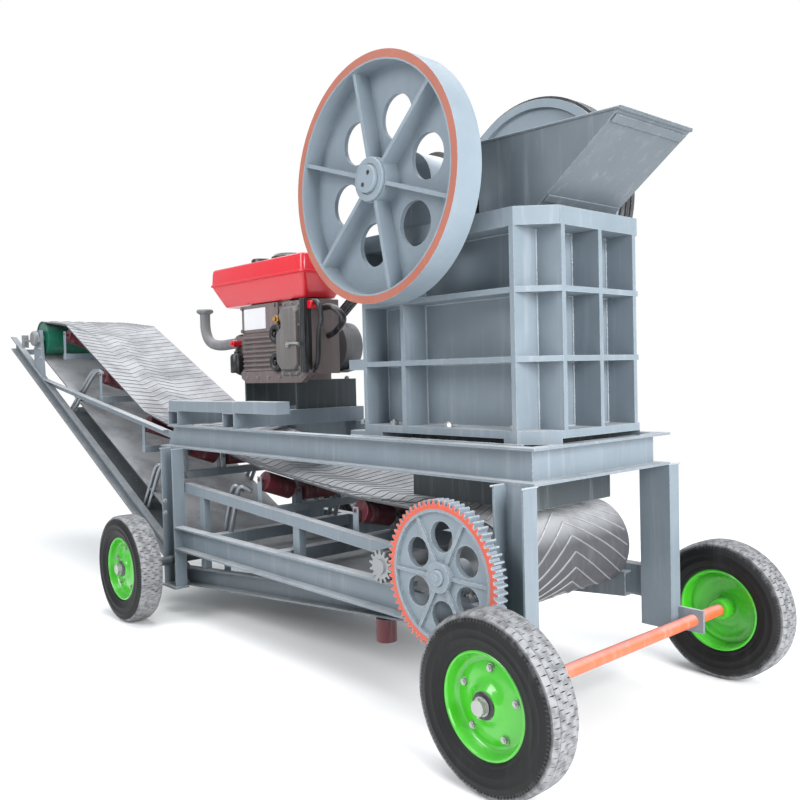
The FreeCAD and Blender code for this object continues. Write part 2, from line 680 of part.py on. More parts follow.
def gear_train():
    y_face = -d.gear_face.number
    wide = d.gear_wide.number
    toward = mesh_angle()
    gear = toothed_wheel(int(d.gear_teeth.number), d.gear_module.number, wide,
                         d.stub_radius.number + d.seat.number, toward)
    ring_in = gear_radius.number - 36
    recess = 14
    for y in (0, wide - recess):
        ring = Part.makeCylinder(ring_in, recess, FreeCAD.Vector(0, y, 0), FreeCAD.Vector(0, 1, 0))
        boss = Part.makeCylinder(52, recess, FreeCAD.Vector(0, y, 0), FreeCAD.Vector(0, 1, 0))
        gear = gear.cut(ring.cut(boss))
    rib = Part.makeBox(ring_in - 45, wide - 8, 12, FreeCAD.Vector(48, 4, -6))
    for index in range(6):
        turned_rib = rib.copy()
        turned_rib.rotate(FreeCAD.Vector(), FreeCAD.Vector(0, 1, 0), 60 * index)
        gear = gear.fuse(turned_rib)
    for index in range(6):
        turn = math.radians(60 * index + 30)
        centre = FreeCAD.Vector(140 * math.cos(turn), -5, 140 * math.sin(turn))
        gear = gear.cut(Part.makeCylinder(55, wide + 10, centre, FreeCAD.Vector(0, 1, 0)))
    piece("gear_wheel", solid_feature("gear_wheel", gear, d.tail_x, y_face, d.tail_z))

    half_step = math.pi / d.pinion_teeth.number
    pinion = toothed_wheel(int(d.pinion_teeth.number), d.gear_module.number, wide,
                           d.stub_radius.number, toward + math.pi + half_step)
    bar = Part.makeCylinder(d.stub_radius.number, d.drive_plane.number + 22 - y_face + 8,
                            FreeCAD.Vector(0, -8, 0), FreeCAD.Vector(0, 1, 0))
    pulley = Part.makeCylinder(d.counter_pulley.number, 36,
                               FreeCAD.Vector(0, d.drive_plane.number - 18 - y_face, 0),
                               FreeCAD.Vector(0, 1, 0))
    shaft = bar.fuse([pinion, pulley])
    piece("countershaft", solid_feature("countershaft", shaft, counter_x, y_face, counter_z))

    drum_half = belt_half - 5
    drum = [(-drum_half, d.stub_radius), (-drum_half, d.drum_radius), (drum_half, d.drum_radius),
            (drum_half, d.stub_radius), (leg_out - 2, d.stub_radius), (leg_out - 2, 0),
            (-d.gear_face - 8, 0), (-d.gear_face - 8, d.stub_radius)]
    piece("tail_drum", turned("tail_drum", drum, d.tail_x, d.tail_z))
    head = [(-drum_half, d.stub_radius), (-drum_half, d.head_radius), (drum_half, d.head_radius),
            (drum_half, d.stub_radius), (chord_out, d.stub_radius), (chord_out, 0),
            (-chord_out, 0), (-chord_out, d.stub_radius)]
    piece("head_drum", turned("head_drum", head, d.head_x, d.head_z))


def pillow_block(name, side, x, z, foot, y_in, y_out):
    """A plain bearing block standing on a rail."""
    base = block(f"{name}_base", (x - 75, x + 75), (side * y_in, side * y_out), (foot, foot + 18))
    waist = block(f"{name}_waist", (x - 42, x + 42), (side * y_in, side * y_out), (foot + 5, z))
    cap = rod(f"{name}_cap", d.stub_radius + 20, x, (side * y_in, side * y_out), z)
    bore = rod(f"{name}_bore", d.stub_radius + d.slip, x,
               (side * (y_in - 5), side * (y_out + 5)), z)
    return cut(name, fuse(f"{name}_solid", [base, waist, cap]), [bore])


def drum_bearings():
    blocks = []
    for label, side in SIDES:
        y_out = leg_out - 4
        y_in = y_out - 45
        for end, x, z in (("tail", d.tail_x, d.tail_z), ("counter", counter_x, counter_z)):
            blocks.append(pillow_block(f"{end}_bearing_{label}", side, x, z, d.rail_top,
                                       y_in, y_out))
    piece("rail_bearings", group("rail_bearings", blocks))


# ---------------------------------------------------------------- conveyor
def chord_slope():
    """Rise of the outer chord's top edge for each millimetre towards the head."""
    return (d.head_z - 245 - d.bend_top) / (d.bend_x - d.head_x)


def chord_top(x):
    """Height of the chord's top edge; it is lowest at the bend."""
    if float(x) < d.bend_x.number:
        return d.bend_top + (d.bend_x - x) * chord_slope()
    return d.bend_top + (sized(x) - d.bend_x) * 0.092


def conveyor_frame():
    high = d.chord_high
    stays = []
    for label, side in SIDES:
        end_top = chord_top(d.chord_end_x)
        tail_top = chord_top(d.chord_tail_x)
        web = [(d.chord_end_x, end_top), (d.bend_x, d.bend_top), (d.chord_tail_x, tail_top),
               (d.chord_tail_x, tail_top - high), (d.bend_x, d.bend_top - high),
               (d.chord_end_x, end_top - high)]
        skin = 8
        parts = [side_plate(f"chord_{label}_web", web, (side * chord_in, side * (chord_in + 6)))]
        for edge, low in (("top", sized(0)), ("foot", high - skin)):
            flange = [(d.chord_end_x, end_top - low), (d.bend_x, d.bend_top - low),
                      (d.chord_tail_x, tail_top - low), (d.chord_tail_x, tail_top - low - skin),
                      (d.bend_x, d.bend_top - low - skin), (d.chord_end_x, end_top - low - skin)]
            parts.append(side_plate(f"chord_{label}_{edge}", flange,
                                    (side * chord_in, side * chord_out)))
        for index, x in enumerate((d.lower_tie_x, d.lower_tie_far_x)):
            parts.append(block(f"chord_{label}_hanger_{index}", (x - 25, x + 25),
                               (side * chord_in, side * (chord_in + 10)),
                               (chord_top(x) - 30, d.rail_top - d.lower_tie_tube)))
        piece(f"conveyor_chord_{label}", fuse(f"conveyor_chord_{label}", parts))
        stays.append(stay(label, side))
    piece("conveyor_stays", group("conveyor_stays", stays))


def stay_line(x):
    """Height of the stay's top edge, from the frame's rear end down the conveyor."""
    return d.stay_top + (-d.frame_long - x) * d.stay_rise


def stay_meets_chord(drop):
    """Where a line this far under the stay's top edge meets the chord's top edge."""
    slope = chord_slope()
    lead = d.bend_top + d.bend_x * slope - d.stay_top + d.frame_long * d.stay_rise + drop
    return lead / (slope - d.stay_rise)


def stay(label, side):
    """An angle from the frame's rear end down the conveyor to its chord."""
    beam_in = edge_y - d.beam_flange
    lap_x = 60 - d.frame_long
    clear_x = -d.frame_long - d.beam_slant - 4
    upright = d.stay_leg
    web = [(lap_x, stay_line(lap_x)), (stay_meets_chord(sized(0)), stay_line(stay_meets_chord(sized(0)))),
           (stay_meets_chord(upright), stay_line(stay_meets_chord(upright)) - upright),
           (lap_x, stay_line(lap_x) - upright)]
    skin = beam_in - chord_in
    parts = [side_plate(f"stay_{label}_web", web, (side * chord_in, side * beam_in)),
             side_plate(f"stay_{label}_flange", [
                 (clear_x, stay_line(clear_x)),
                 (stay_meets_chord(sized(0)), stay_line(stay_meets_chord(sized(0)))),
                 (stay_meets_chord(skin), stay_line(stay_meets_chord(skin)) - skin),
                 (clear_x, stay_line(clear_x) - skin)], (side * chord_in, side * chord_out))]
    return fuse(f"conveyor_stay_{label}", parts)


# along the run, up the rise, and trough angle of each station of the carrying run
BELT_SHARES = ((0.0, 0.0, 0), (0.16, -0.030, 12), (0.33, 0.012, 20), (0.50, 0.145, 20),
               (0.62, 0.265, 20), (0.76, 0.565, 20), (0.90, 0.870, 20), (1.0, 1.0, 0))
TROUGH_FLAT = 115.0


def belt_line():
    """Stations of the carrying run: x, height of the middle, trough angle."""
    drum_top = d.tail_z.number + d.drum_radius.number + d.belt_thick.number
    head_top = d.head_z.number + d.head_radius.number + d.belt_thick.number
    tail_x = d.tail_x.number
    run = tail_x - d.head_x.number
    rise = head_top - drum_top
    return [(tail_x - run * along, drum_top + rise * up, angle)
            for along, up, angle in BELT_SHARES]


def belt_section(x, z, angle, thick):
    """A troughed belt section as a closed wire in the plane of constant X."""
    flat = TROUGH_FLAT
    wing = d.belt_wide.number / 2 - flat
    reach = flat + wing * math.cos(math.radians(angle))
    lift = wing * math.sin(math.radians(angle))
    upper = [(-reach, z + lift), (-flat, z), (flat, z), (reach, z + lift)]
    lower = [(y, height - thick) for y, height in reversed(upper)]
    corners = [FreeCAD.Vector(x, y, height) for y, height in upper + lower]
    return Part.makePolygon(corners + corners[:1])


def touch(centre, radius, far, upper):
    """Angle, from +X, at which a straight run from a far point meets a circle."""
    gap_x, gap_z = far[0] - centre[0], far[1] - centre[1]
    lean = math.acos(radius / math.hypot(gap_x, gap_z))
    base = math.atan2(gap_z, gap_x)
    both = (base + lean, base - lean)
    return max(both, key=math.sin) if upper else min(both, key=math.sin)


def belt_wrap(centre, radius, thick, start, end, wide):
    """The part of a belt that lies on a drum, between two angles from +X."""
    def on(reach, turn):
        return FreeCAD.Vector(centre[0] + reach * math.cos(turn), -wide / 2,
                              centre[1] + reach * math.sin(turn))

    middle = (start + end) / 2
    outer = Part.Arc(on(radius + thick, start), on(radius + thick, middle),
                     on(radius + thick, end)).toShape()
    inner = Part.Arc(on(radius, end), on(radius, middle), on(radius, start)).toShape()
    ends = [Part.makeLine(on(radius + thick, end), on(radius, end)),
            Part.makeLine(on(radius, start), on(radius + thick, start))]
    wire = Part.Wire([outer, ends[0], inner, ends[1]])
    return Part.Face(wire).extrude(FreeCAD.Vector(0, wide, 0))


def conveyor_belt():
    thick = d.belt_thick.number
    wide = d.belt_wide.number
    skin = thick - d.seat.number
    stations = belt_line()
    tail = (d.tail_x.number, d.tail_z.number)
    head = (d.head_x.number, d.head_z.number)
    tail_outer = d.drum_radius.number + thick
    head_outer = d.head_radius.number + thick
    sag = (d.bend_x.number + 60, chord_top(d.bend_x).number + 105)
    lap = math.radians(2)
    angles = {
        "tail_top": touch(tail, tail_outer, stations[1][:2], True),
        "tail_foot": touch(tail, tail_outer, sag, False),
        "head_top": touch(head, head_outer, stations[-2][:2], True),
        "head_foot": touch(head, head_outer, sag, False)}
    wraps = [belt_wrap(tail, tail_outer - skin, skin, angles["tail_foot"] - lap,
                       angles["tail_top"] + lap, wide),
             belt_wrap(head, head_outer - skin, skin, angles["head_top"] - lap,
                       angles["head_foot"] % (2 * math.pi) + lap, wide)]

    def at(centre, outer, name):
        return (centre[0] + outer * math.cos(angles[name]), centre[1] + outer * math.sin(angles[name]))

    upper = [at(tail, tail_outer, "tail_top") + (0,)] + stations[1:-1]
    upper.append(at(head, head_outer, "head_top") + (0,))
    runs = []
    for first, second in zip(upper, upper[1:]):
        runs.append(Part.makeLoft([belt_section(*first, skin), belt_section(*second, skin)],
                                  True, True))
    under = [at(tail, tail_outer, "tail_foot"), sag, at(head, head_outer, "head_foot")]
    corners = [FreeCAD.Vector(x, -wide / 2, z) for x, z in under]
    corners += [FreeCAD.Vector(x, -wide / 2, z + skin) for x, z in reversed(under)]
    back = Part.Face(Part.makePolygon(corners + corners[:1])).extrude(FreeCAD.Vector(0, wide, 0))
    loop = runs[0].fuse(runs[1:] + wraps + [back])
    piece("conveyor_belt", solid_feature("conveyor_belt", loop.removeSplitter()))


def belt_rails():
    """Bars inside the frame that carry the idlers, on posts from the chords."""
    def top(x):
        return d.belt_rail_top + (d.belt_rail_front - x) * d.belt_rail_rise

    rails = []
    for label, side in SIDES:
        front, rear = d.belt_rail_front, d.belt_rail_rear
        bar = side_plate(f"belt_rail_{label}_bar", [
            (front, top(front)), (rear, top(rear)), (rear, top(rear) - d.belt_rail_high),
            (front, top(front) - d.belt_rail_high)], (side * chord_in, side * chord_out))
        posts = []
        for index, x in enumerate((front - 60, d.lower_tie_x + 80, rear + 300)):
            foot = chord_top(x) + 25 * 0.092
            posts.append(block(f"belt_post_{label}_{index}", (x - 25, x + 25),
                               (side * chord_in, side * (chord_in + 35)), (foot, top(x) - 10)))
        rails.append(fuse(f"belt_rail_{label}", [bar] + posts))
    piece("belt_rails", group("belt_rails", rails))


def along_lean(y, z, lean, step):
    """A place this far up a line that leans in the YZ plane."""
    return y + step * math.cos(lean), z + step * math.sin(lean)


def leaning_rod(x, y, z, lean, long, radius):
    """A rod centred on a place, its axis leaning in the YZ plane."""
    along = FreeCAD.Vector(0, math.cos(lean), math.sin(lean))
    return Part.makeCylinder(radius, long, FreeCAD.Vector(x, y, z) - along * (long / 2), along)


# troughing rollers, their pins, plates and cross bars
MIDDLE_ROLLER = 196.0
MIDDLE_GAP = 9.0
WING_ROLLER = 162.0
WING_GAP = 26.0
WING_START = 117.0
WING_MIDDLE = 112.0
PIN_RADIUS = 9.0
BAR_WIDE = 44
BAR_DEEP = 40
BAR_CLEAR = 14
PLATE_WIDE = 36
PLATE_THICK = 6


def idlers():
    """Troughing sets of three rollers, each on a cross bar with its plates."""
    rollers = []
    brackets = []
    stations = belt_line()
    radius = d.roller_radius.number
    for index in range(1, len(stations) - 1):
        x, z, angle = stations[index]
        slopes = [abs((stations[k + 1][1] - stations[k][1]) / (stations[k + 1][0] - stations[k][0]))
                  for k in (index - 1, index)]
        steep = math.hypot(1, max(slopes))
        under = d.belt_thick.number + radius * steep + 0.6
        lean = math.radians(angle)
        axes = [(0.0, z - under, 0.0, MIDDLE_ROLLER, MIDDLE_GAP)]
        y_wing, z_wing = along_lean(WING_START, z, lean, WING_MIDDLE)
        for side in (-1, 1):
            axes.append((side * (y_wing + under * math.sin(lean)), z_wing - under * math.cos(lean),
                         side * lean, WING_ROLLER, WING_GAP))
        bar_top = z - under - radius - BAR_CLEAR
        reach = chord_in.number - PLATE_THICK
        parts = [Part.makeBox(BAR_WIDE, 2 * reach, BAR_DEEP,
                             FreeCAD.Vector(x - BAR_WIDE / 2, -reach, bar_top - BAR_DEEP))]
        for y, height, tilt, long, gap in axes:
            reach_pin = long + 2 * gap + 12
            rollers.append(leaning_rod(x, y, height, tilt, long, radius).fuse(
                leaning_rod(x, y, height, tilt, reach_pin, PIN_RADIUS)))
            for end in (-1, 1):
                y_plate, z_plate = along_lean(y, height, tilt, end * (long / 2 + gap))
                parts.append(Part.makeBox(PLATE_WIDE, PLATE_THICK, z_plate + 16 - bar_top + 2,
                                          FreeCAD.Vector(x - PLATE_WIDE / 2,
                                                         y_plate - PLATE_THICK / 2, bar_top - 2)))
        for side in (-1, 1):
            foot = post_foot(x)
            y_post = side * (reach + PLATE_THICK / 2) - PLATE_THICK / 2
            parts.append(Part.makeBox(BAR_WIDE, PLATE_THICK, bar_top - foot,
                                      FreeCAD.Vector(x - BAR_WIDE / 2, y_post, foot)))
        bracket = parts[0].fuse(parts[1:])
        holes = [leaning_rod(x, y, height, tilt, long + 2 * gap + 30,
                             PIN_RADIUS + d.seat.number)
                 for y, height, tilt, long, gap in axes]
        brackets.append(bracket.cut(holes))
    piece("idler_rollers", solid_feature("idler_rollers", Part.makeCompound(rollers)))
    piece("idler_brackets", solid_feature("idler_brackets", Part.makeCompound(brackets)))


def post_foot(x):
    """Foot of an idler's post: on the belt rail in the frame, on the chord outside it."""
    if x > d.belt_rail_rear.number:
        rail = d.belt_rail_top + (d.belt_rail_front - x) * d.belt_rail_rise
        return (rail - 40).number
    return chord_top(sized(x)).number - 1


# ---------------------------------------------------------------- power unit
def tubes_and_rails():
    tubes = []
    for index, x in enumerate((d.tube_rear_x, d.tube_front_x)):
        outer = block(f"engine_tube_{index}_outer", (x, x + 112), (-edge_y, edge_y),
                      (d.frame_top, d.frame_top + d.tube_size))
        inner = block(f"engine_tube_{index}_inner", (x + 5, x + 107), (-edge_y - 5, edge_y + 5),
                      (d.frame_top + 5, d.frame_top + d.tube_size - 5))
        tubes.append(cut(f"engine_tube_{index}", outer, [inner]))
    piece("engine_cross_tubes", group("engine_cross_tubes", tubes))
    top = d.frame_top + d.tube_size
    rear = block("skid_rail_rear", (d.tube_rear_x, d.tube_front_x + 130), (-edge_y + 5, -edge_y + 65),
                 (top, top + 55))
    front = block("skid_rail_front", (d.tube_front_x + 130.3, d.tube_front_x + 480),
                  (-edge_y + 5, -edge_y + 85), (top, top + 58))
    piece("skid_rails", group("skid_rails", [rear, front]))


def engine():
    near = d.engine_near
    rear = d.engine_x - d.engine_long
    far = near + d.crank_deep
    base_top = base_foot + d.base_high
    outer = block("engine_base_outer", (rear, d.engine_x), (near, far), (base_foot, base_top))
    inner = block("engine_base_inner", (rear + d.base_wall, d.engine_x - d.base_wall),
                  (near - 5, far + 5), (base_foot - 5, base_top - d.base_deck))
    piece("engine_base", cut("engine_base", outer, [inner]))

    top = base_top + d.crank_high
    case = block("engine_case", (rear, d.engine_x), (near, near + d.case_deep), (base_top, top))
    saddle = block("tank_saddle", (rear + d.saddle_inset, d.engine_x - d.saddle_inset),
                   (near + d.saddle_lip, near + d.case_deep - d.saddle_lip), (top, tank_foot))
    bore = rod("engine_case_bore", d.crank_bore + d.slip, d.crank_x,
               (near + d.case_deep - 80, near + d.case_deep + 10), d.crank_z)
    piece("engine_block", cut("engine_block", fuse("engine_case_solid", [case, saddle]), [bore]))
    flange = block("engine_gear_cover", (rear + d.cover_rear, d.engine_x - d.cover_front),
                   (near - d.cover_thick, near), (base_top + d.cover_foot, top - d.cover_front))
    piece("engine_gear_cover", flange)
    head = block("cylinder_head", (rear - d.head_long, rear),
                 (near + d.head_near, near + d.head_near + d.head_deep),
                 (base_top + d.head_foot, base_top + d.head_foot + d.head_tall))
    piece("cylinder_head", head)
    long = d.tank_long
    tank_rear = d.tank_x - long
    tank_near = near - 60
    tank = side_plate("fuel_tank", [
        (tank_rear + 40, tank_foot), (d.tank_x - 60, tank_foot), (d.tank_x, tank_foot + 60),
        (d.tank_x - 8, tank_foot + d.tank_high), (tank_rear + 8, tank_foot + d.tank_high),
        (tank_rear, tank_foot + 70)], (tank_near, tank_near + d.tank_deep))
    piece("fuel_tank", tank)
    piece("exhaust_elbow", solid_feature("exhaust_elbow", exhaust_shape(), rear - d.head_long,
                                         near + 115, base_top + 230))
    disc_near = near + d.case_deep + 20
    disc_far = disc_near + d.spin_disc_wide
    pulley_near = d.wheel_face - d.wheel_wide
    shaft_end = near + d.case_deep - d.spin_end
    flywheel_disc = turned("engine_rotor_turn", [
        (shaft_end, 0), (shaft_end, d.crank_bore), (disc_near, d.crank_bore),
        (disc_near, d.spin_disc), (disc_far, d.spin_disc), (disc_far, d.spin_hub),
        (pulley_near, d.spin_hub), (pulley_near, d.engine_pulley),
        (d.wheel_face, d.engine_pulley), (d.wheel_face, 0)], d.crank_x, d.crank_z)
    piece("engine_flywheel", flywheel_disc)


def exhaust_shape():
    """A pipe that leaves the head, bends through a right angle and opens upward."""
    radius = d.exhaust_radius.number
    bend = d.exhaust_bend.number
    run = d.exhaust_run.number
    slant = math.pi / 4
    start = FreeCAD.Vector(0, 0, 0)
    flat_end = FreeCAD.Vector(-run, 0, 0)
    arc_mid = FreeCAD.Vector(-run - bend * math.sin(slant), 0, bend * (1 - math.cos(slant)))
    arc_end = FreeCAD.Vector(-run - bend, 0, bend)
    top = FreeCAD.Vector(-run - bend, 0, bend + d.exhaust_rise.number)
    path = Part.Wire([Part.makeLine(start, flat_end),
                      Part.Arc(flat_end, arc_mid, arc_end).toShape(),
                      Part.makeLine(arc_end, top)])
    back = FreeCAD.Vector(-1, 0, 0)
    ring = Part.Wire(Part.makeCircle(radius, start, back))
    hollow = Part.Wire(Part.makeCircle(radius - d.exhaust_wall.number, start, back))
    pipe = path.makePipeShell([ring], True, False)
    bore = path.makePipeShell([hollow], True, False)
    return pipe.cut(bore)


def belt_loop(x1, z1, r1, x2, z2, r2, y0, y1, thick):
    """A flat open-belt loop round two pulleys, in the plane of constant Y."""
    gap = math.hypot(x2 - x1, z2 - z1)
    line = math.atan2(z2 - z1, x2 - x1)
    lean = math.acos((r1 - r2) / gap)

    def side_wire(grow):
        wires = []
        ends = []
        for sign in (1, -1):
            turn = line + sign * lean
            ends.append([FreeCAD.Vector(x + (r + grow) * math.cos(turn), y0,
                                        z + (r + grow) * math.sin(turn))
                         for x, z, r in ((x1, z1, r1), (x2, z2, r2))])
        back = FreeCAD.Vector(x1 - (r1 + grow) * math.cos(line), y0,
                              z1 - (r1 + grow) * math.sin(line))
        front = FreeCAD.Vector(x2 + (r2 + grow) * math.cos(line), y0,
                               z2 + (r2 + grow) * math.sin(line))
        wires.append(Part.makeLine(ends[0][0], ends[0][1]))
        wires.append(Part.Arc(ends[0][1], front, ends[1][1]).toShape())
        wires.append(Part.makeLine(ends[1][1], ends[1][0]))
        wires.append(Part.Arc(ends[1][0], back, ends[0][0]).toShape())
        return Part.Wire(wires)

    across = FreeCAD.Vector(0, y1 - y0, 0)
    outer = Part.Face(side_wire(thick)).extrude(across)
    inner = Part.Face(side_wire(0.0)).extrude(across)
    return outer.cut(inner)


def drive_belts():
    loops = []
    slack = d.seat.number
    first = (d.wheel_face - d.wheel_wide).number + 14
    for index in range(3):
        low = first + index * 32
        loops.append(belt_loop(d.crank_x.number, d.crank_z.number, d.engine_pulley.number + slack,
                               d.shaft_x.number, d.shaft_z.number, d.wheel_radius.number + slack,
                               low, low + 22, 12.0))
    piece("crusher_drive_belts", solid_feature("crusher_drive_belts", Part.makeCompound(loops)))
    plane = d.drive_plane.number
    loop = belt_loop(counter_x.number, counter_z.number, d.counter_pulley.number + slack,
                     d.shaft_x.number, d.shaft_z.number, d.small_pulley.number + slack,
                     plane - 11, plane + 11, 12.0)
    piece("conveyor_drive_belt", solid_feature("conveyor_drive_belt", loop))


def head_bearings():
    plates = []
    for label, side in SIDES:
        plate = side_plate(f"head_plate_{label}", [
            (d.head_x - 90, chord_top(d.head_x - 90)), (d.head_x + 90, chord_top(d.head_x + 90)),
            (d.head_x + 60, d.head_z + 60), (d.head_x - 60, d.head_z + 60)],
            (side * (chord_in + 8), side * (chord_in + 30)))
        bore = rod(f"head_plate_{label}_bore", d.stub_radius + d.slip, d.head_x,
                   (side * chord_in, side * (chord_out + 5)), d.head_z)
        plates.append(cut(f"head_bearing_{label}", plate, [bore]))
    piece("head_bearings", group("head_bearings", plates))


def conveyor_ties(ties):
    """Bars between the chords, kept with the ties between the lower rails."""
    for index, x in enumerate((-2900, -3600, -4300, -5200)):
        top = chord_top(sized(x)) - 30
        ties.append(block(f"conveyor_tie_{index}", (x - 20, x + 20), (-chord_in, chord_in),
                          (top - 40, top)))
    piece("cross_ties", group("cross_ties", ties))
    start = d.bend_x - 60
    end = sized(-4200)
    pan = side_plate("conveyor_pan", [
        (start, chord_top(start) - 12), (end, chord_top(end) - 12),
        (end, chord_top(end) - 16), (start, chord_top(start) - 16)], (-chord_in, chord_in))
    piece("conveyor_pan", pan)
    piece("parking_jack", rod("parking_jack", 42, -820, -chord_in - 15,
                              (195, chord_top(sized(-820)) - d.chord_high - 4), axis="z"))


# ---------------------------------------------------------------- build and write
def main():
    top_frame()
    ties = legs_and_rails()
    running_gear()
    crusher_body()
    jaws()
    bearings()
    rotor()
    hopper()
    gear_train()
    drum_bearings()
    conveyor_frame()
    conveyor_ties(ties)
    conveyor_belt()
    belt_rails()
    idlers()
    head_bearings()
    tubes_and_rails()
    engine()
    drive_belts()
    doc.recompute()
    for thing in doc.Objects:
        if "Invalid" in thing.State or "Error" in thing.State:
            raise RuntimeError(f"{thing.Name} failed: {thing.State}")
    os.makedirs("parts", exist_ok=True)
    for name, thing in pieces.items():
        if thing.Shape.isNull() or not thing.Shape.isValid() or not thing.Shape.Solids:
            raise RuntimeError(f"{name} has no valid solid")
    for name, thing in pieces.items():
        thing.Shape.exportStep(f"parts/{name}.step")
        box = thing.Shape.BoundBox
        print(f"{name}: {len(thing.Shape.Solids)} solids, X {box.XMin:.0f}..{box.XMax:.0f}, "
              f"Y {box.YMin:.0f}..{box.YMax:.0f}, Z {box.ZMin:.0f}..{box.ZMax:.0f}")


main()
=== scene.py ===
"""Wheeled jaw crusher with a belt conveyor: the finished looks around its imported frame."""
import json
import math

import bmesh
import bpy
from mathutils import Matrix, Vector


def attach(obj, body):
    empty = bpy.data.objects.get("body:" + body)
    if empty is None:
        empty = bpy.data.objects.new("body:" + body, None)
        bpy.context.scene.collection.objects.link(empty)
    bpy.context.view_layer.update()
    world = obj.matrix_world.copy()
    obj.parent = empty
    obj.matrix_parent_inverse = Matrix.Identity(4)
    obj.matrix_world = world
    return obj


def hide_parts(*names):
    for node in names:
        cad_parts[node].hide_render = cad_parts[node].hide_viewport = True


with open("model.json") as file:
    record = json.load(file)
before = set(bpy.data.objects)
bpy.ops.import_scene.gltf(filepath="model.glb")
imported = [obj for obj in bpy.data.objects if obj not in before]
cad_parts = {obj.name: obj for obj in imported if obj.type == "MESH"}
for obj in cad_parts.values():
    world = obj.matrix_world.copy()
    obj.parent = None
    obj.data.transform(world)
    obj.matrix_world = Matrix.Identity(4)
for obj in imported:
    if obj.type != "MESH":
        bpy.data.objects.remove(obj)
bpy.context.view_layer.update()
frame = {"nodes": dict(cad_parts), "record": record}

bl_info = {
    "name": "Wheeled jaw crusher",
    "version": (1, 0, 0),
    "blender": (4, 5, 0),
    "location": "3D View > Sidebar > Crusher",
    "description": "Adds the tyres, rims, engine, belts, bolts and finishes of a jaw crusher",
    "category": "Add Mesh",
}

NEAR, FAR = -1, 1
SIDES = ((NEAR, "near"), (FAR, "far"))
UP = Vector((0, 0, 1))
ACROSS = Vector((0, 1, 0))
REARWARD = Vector((-1, 0, 0))

# places of the machine, in metres; pairs are (x, z)
TRACK = 0.700
AXLE_X = {"front": 2.5685, "rear": -0.0290}
AXLE_Z = 0.280
HUB_END = 0.746
SHAFT = (1.8285, 2.007)
WHEEL_FACE = 0.523
TAIL = (2.1815, 0.565)
TAIL_OUTER = 0.175
HEAD = (-2.2735, 1.600)
HEAD_OUTER = 0.130
SAG = (0.0465, 0.340)
TROUGH_FLAT = 0.115
# carrying stations of the belt: x, height of its middle, trough angle in degrees
STATIONS = ((1.4687, 0.7103, 12), (0.7113, 0.7519, 20), (-0.0460, 0.8836, 20),
            (-0.5806, 1.0024, 20), (-1.2043, 1.2994, 20), (-1.8280, 1.6013, 20))
FRAME_TOP = 1.020
SMALL = 1e-6


# ------------------------------------------------------------------ sizes and colours
def length(label, about, default):
    return bpy.props.FloatProperty(name=label, description=about, default=default, min=0.0,
                                   unit="LENGTH", precision=4)


def count(label, about, default):
    return bpy.props.IntProperty(name=label, description=about, default=default, min=1)


def share(label, about, default):
    return bpy.props.FloatProperty(name=label, description=about, default=default, min=0.0,
                                   max=1.0, subtype="FACTOR")


def colour(label, about, default):
    return bpy.props.FloatVectorProperty(name=label, description=about, default=default, size=3,
                                         min=0.0, max=1.0, subtype="COLOR")


class CrusherSizes(bpy.types.PropertyGroup):
    """Sizes of the pieces added around the frame."""
    tread_count: count("Tread lugs", "Lugs round each tyre", 60)
    tread_depth: length("Tread depth", "Height of a lug over the tyre's carcass", 0.011)
    rim_nuts: count("Rim nuts", "Nuts round each wheel disc", 5)
    rim_nut_circle: length("Rim nut circle", "Radius of the circle of nuts", 0.110)
    nut_across: length("Nut", "Width of a nut across its flats, at size 1", 0.030)
    nut_high: length("Nut height", "Height of a nut, at size 1", 0.018)
    bead_step: length("Weld step", "Distance between ripples of a weld bead", 0.0058)
    bead_radius: length("Weld size", "Half width of a weld bead", 0.0052)
    chevron_step: length("Chevron step", "Distance between ribs along the belt", 0.060)
    chevron_high: length("Chevron height", "Height of a rib over the belt", 0.0035)
    hoop_radius: length("Idler hoop", "Radius of the bent bars beside the belt", 0.013)


class CrusherColours(bpy.types.PropertyGroup):
    """Colours and wear of the finishes."""
    grey: colour("Machine grey", "Paint of the frame and the crusher", (0.155, 0.190, 0.220))
    # dark_grey is near black: painted shade on the pan under the belt, the engine bed under the
    # engine, the skirt under the beam and the rear axle
    dark_grey: colour("Dark grey", "Paint of the pan and the engine bed", (0.030, 0.040, 0.046))
    orange: colour("Orange red", "Paint of the front axle", (0.72, 0.115, 0.045))
    wheel_ring: colour("Flywheel ring", "Paint on the flywheels' rims", (0.32, 0.105, 0.070))
    gear_ring: colour("Gear ring", "Paint on the gear's rim", (0.50, 0.075, 0.040))
    green: colour("Wheel green", "Gloss paint of the wheel discs", (0.045, 0.42, 0.012))
    dark_green: colour("Drum green", "Paint of the head drum", (0.004, 0.115, 0.068))
    red: colour("Tank red", "Gloss paint of the fuel tank", (0.60, 0.004, 0.016))
    maroon: colour("Maroon", "Paint of the idler rollers and the jack", (0.0825, 0.0077, 0.0143))
    casting: colour("Engine casting", "Brown grey of the crankcase", (0.15225, 0.1189, 0.116))
    rubber: colour("Rubber", "Clean rubber of the drive belts", (0.020, 0.020, 0.022))
    tyre: colour("Tyre rubber", "Clean rubber of the tyres", (0.0070, 0.0070, 0.0077))
    dust: colour("Dust", "Stone dust that lies on everything", (0.52, 0.53, 0.55))
    dust_amount: share("Dust amount", "How much dust lies on upward faces", 0.55)
    edge_wear: share("Edge wear", "How far the paint has worn off the edges", 0.45)


def sizes():
    return bpy.context.scene.crusher_sizes


def colours():
    return bpy.context.scene.crusher_colours


# ------------------------------------------------------------------ node helpers
NUMBER, COLOUR, VECTOR = "NodeSocketFloat", "NodeSocketColor", "NodeSocketVector"
GEOMETRY, MATERIAL = "NodeSocketGeometry", "NodeSocketMaterial"


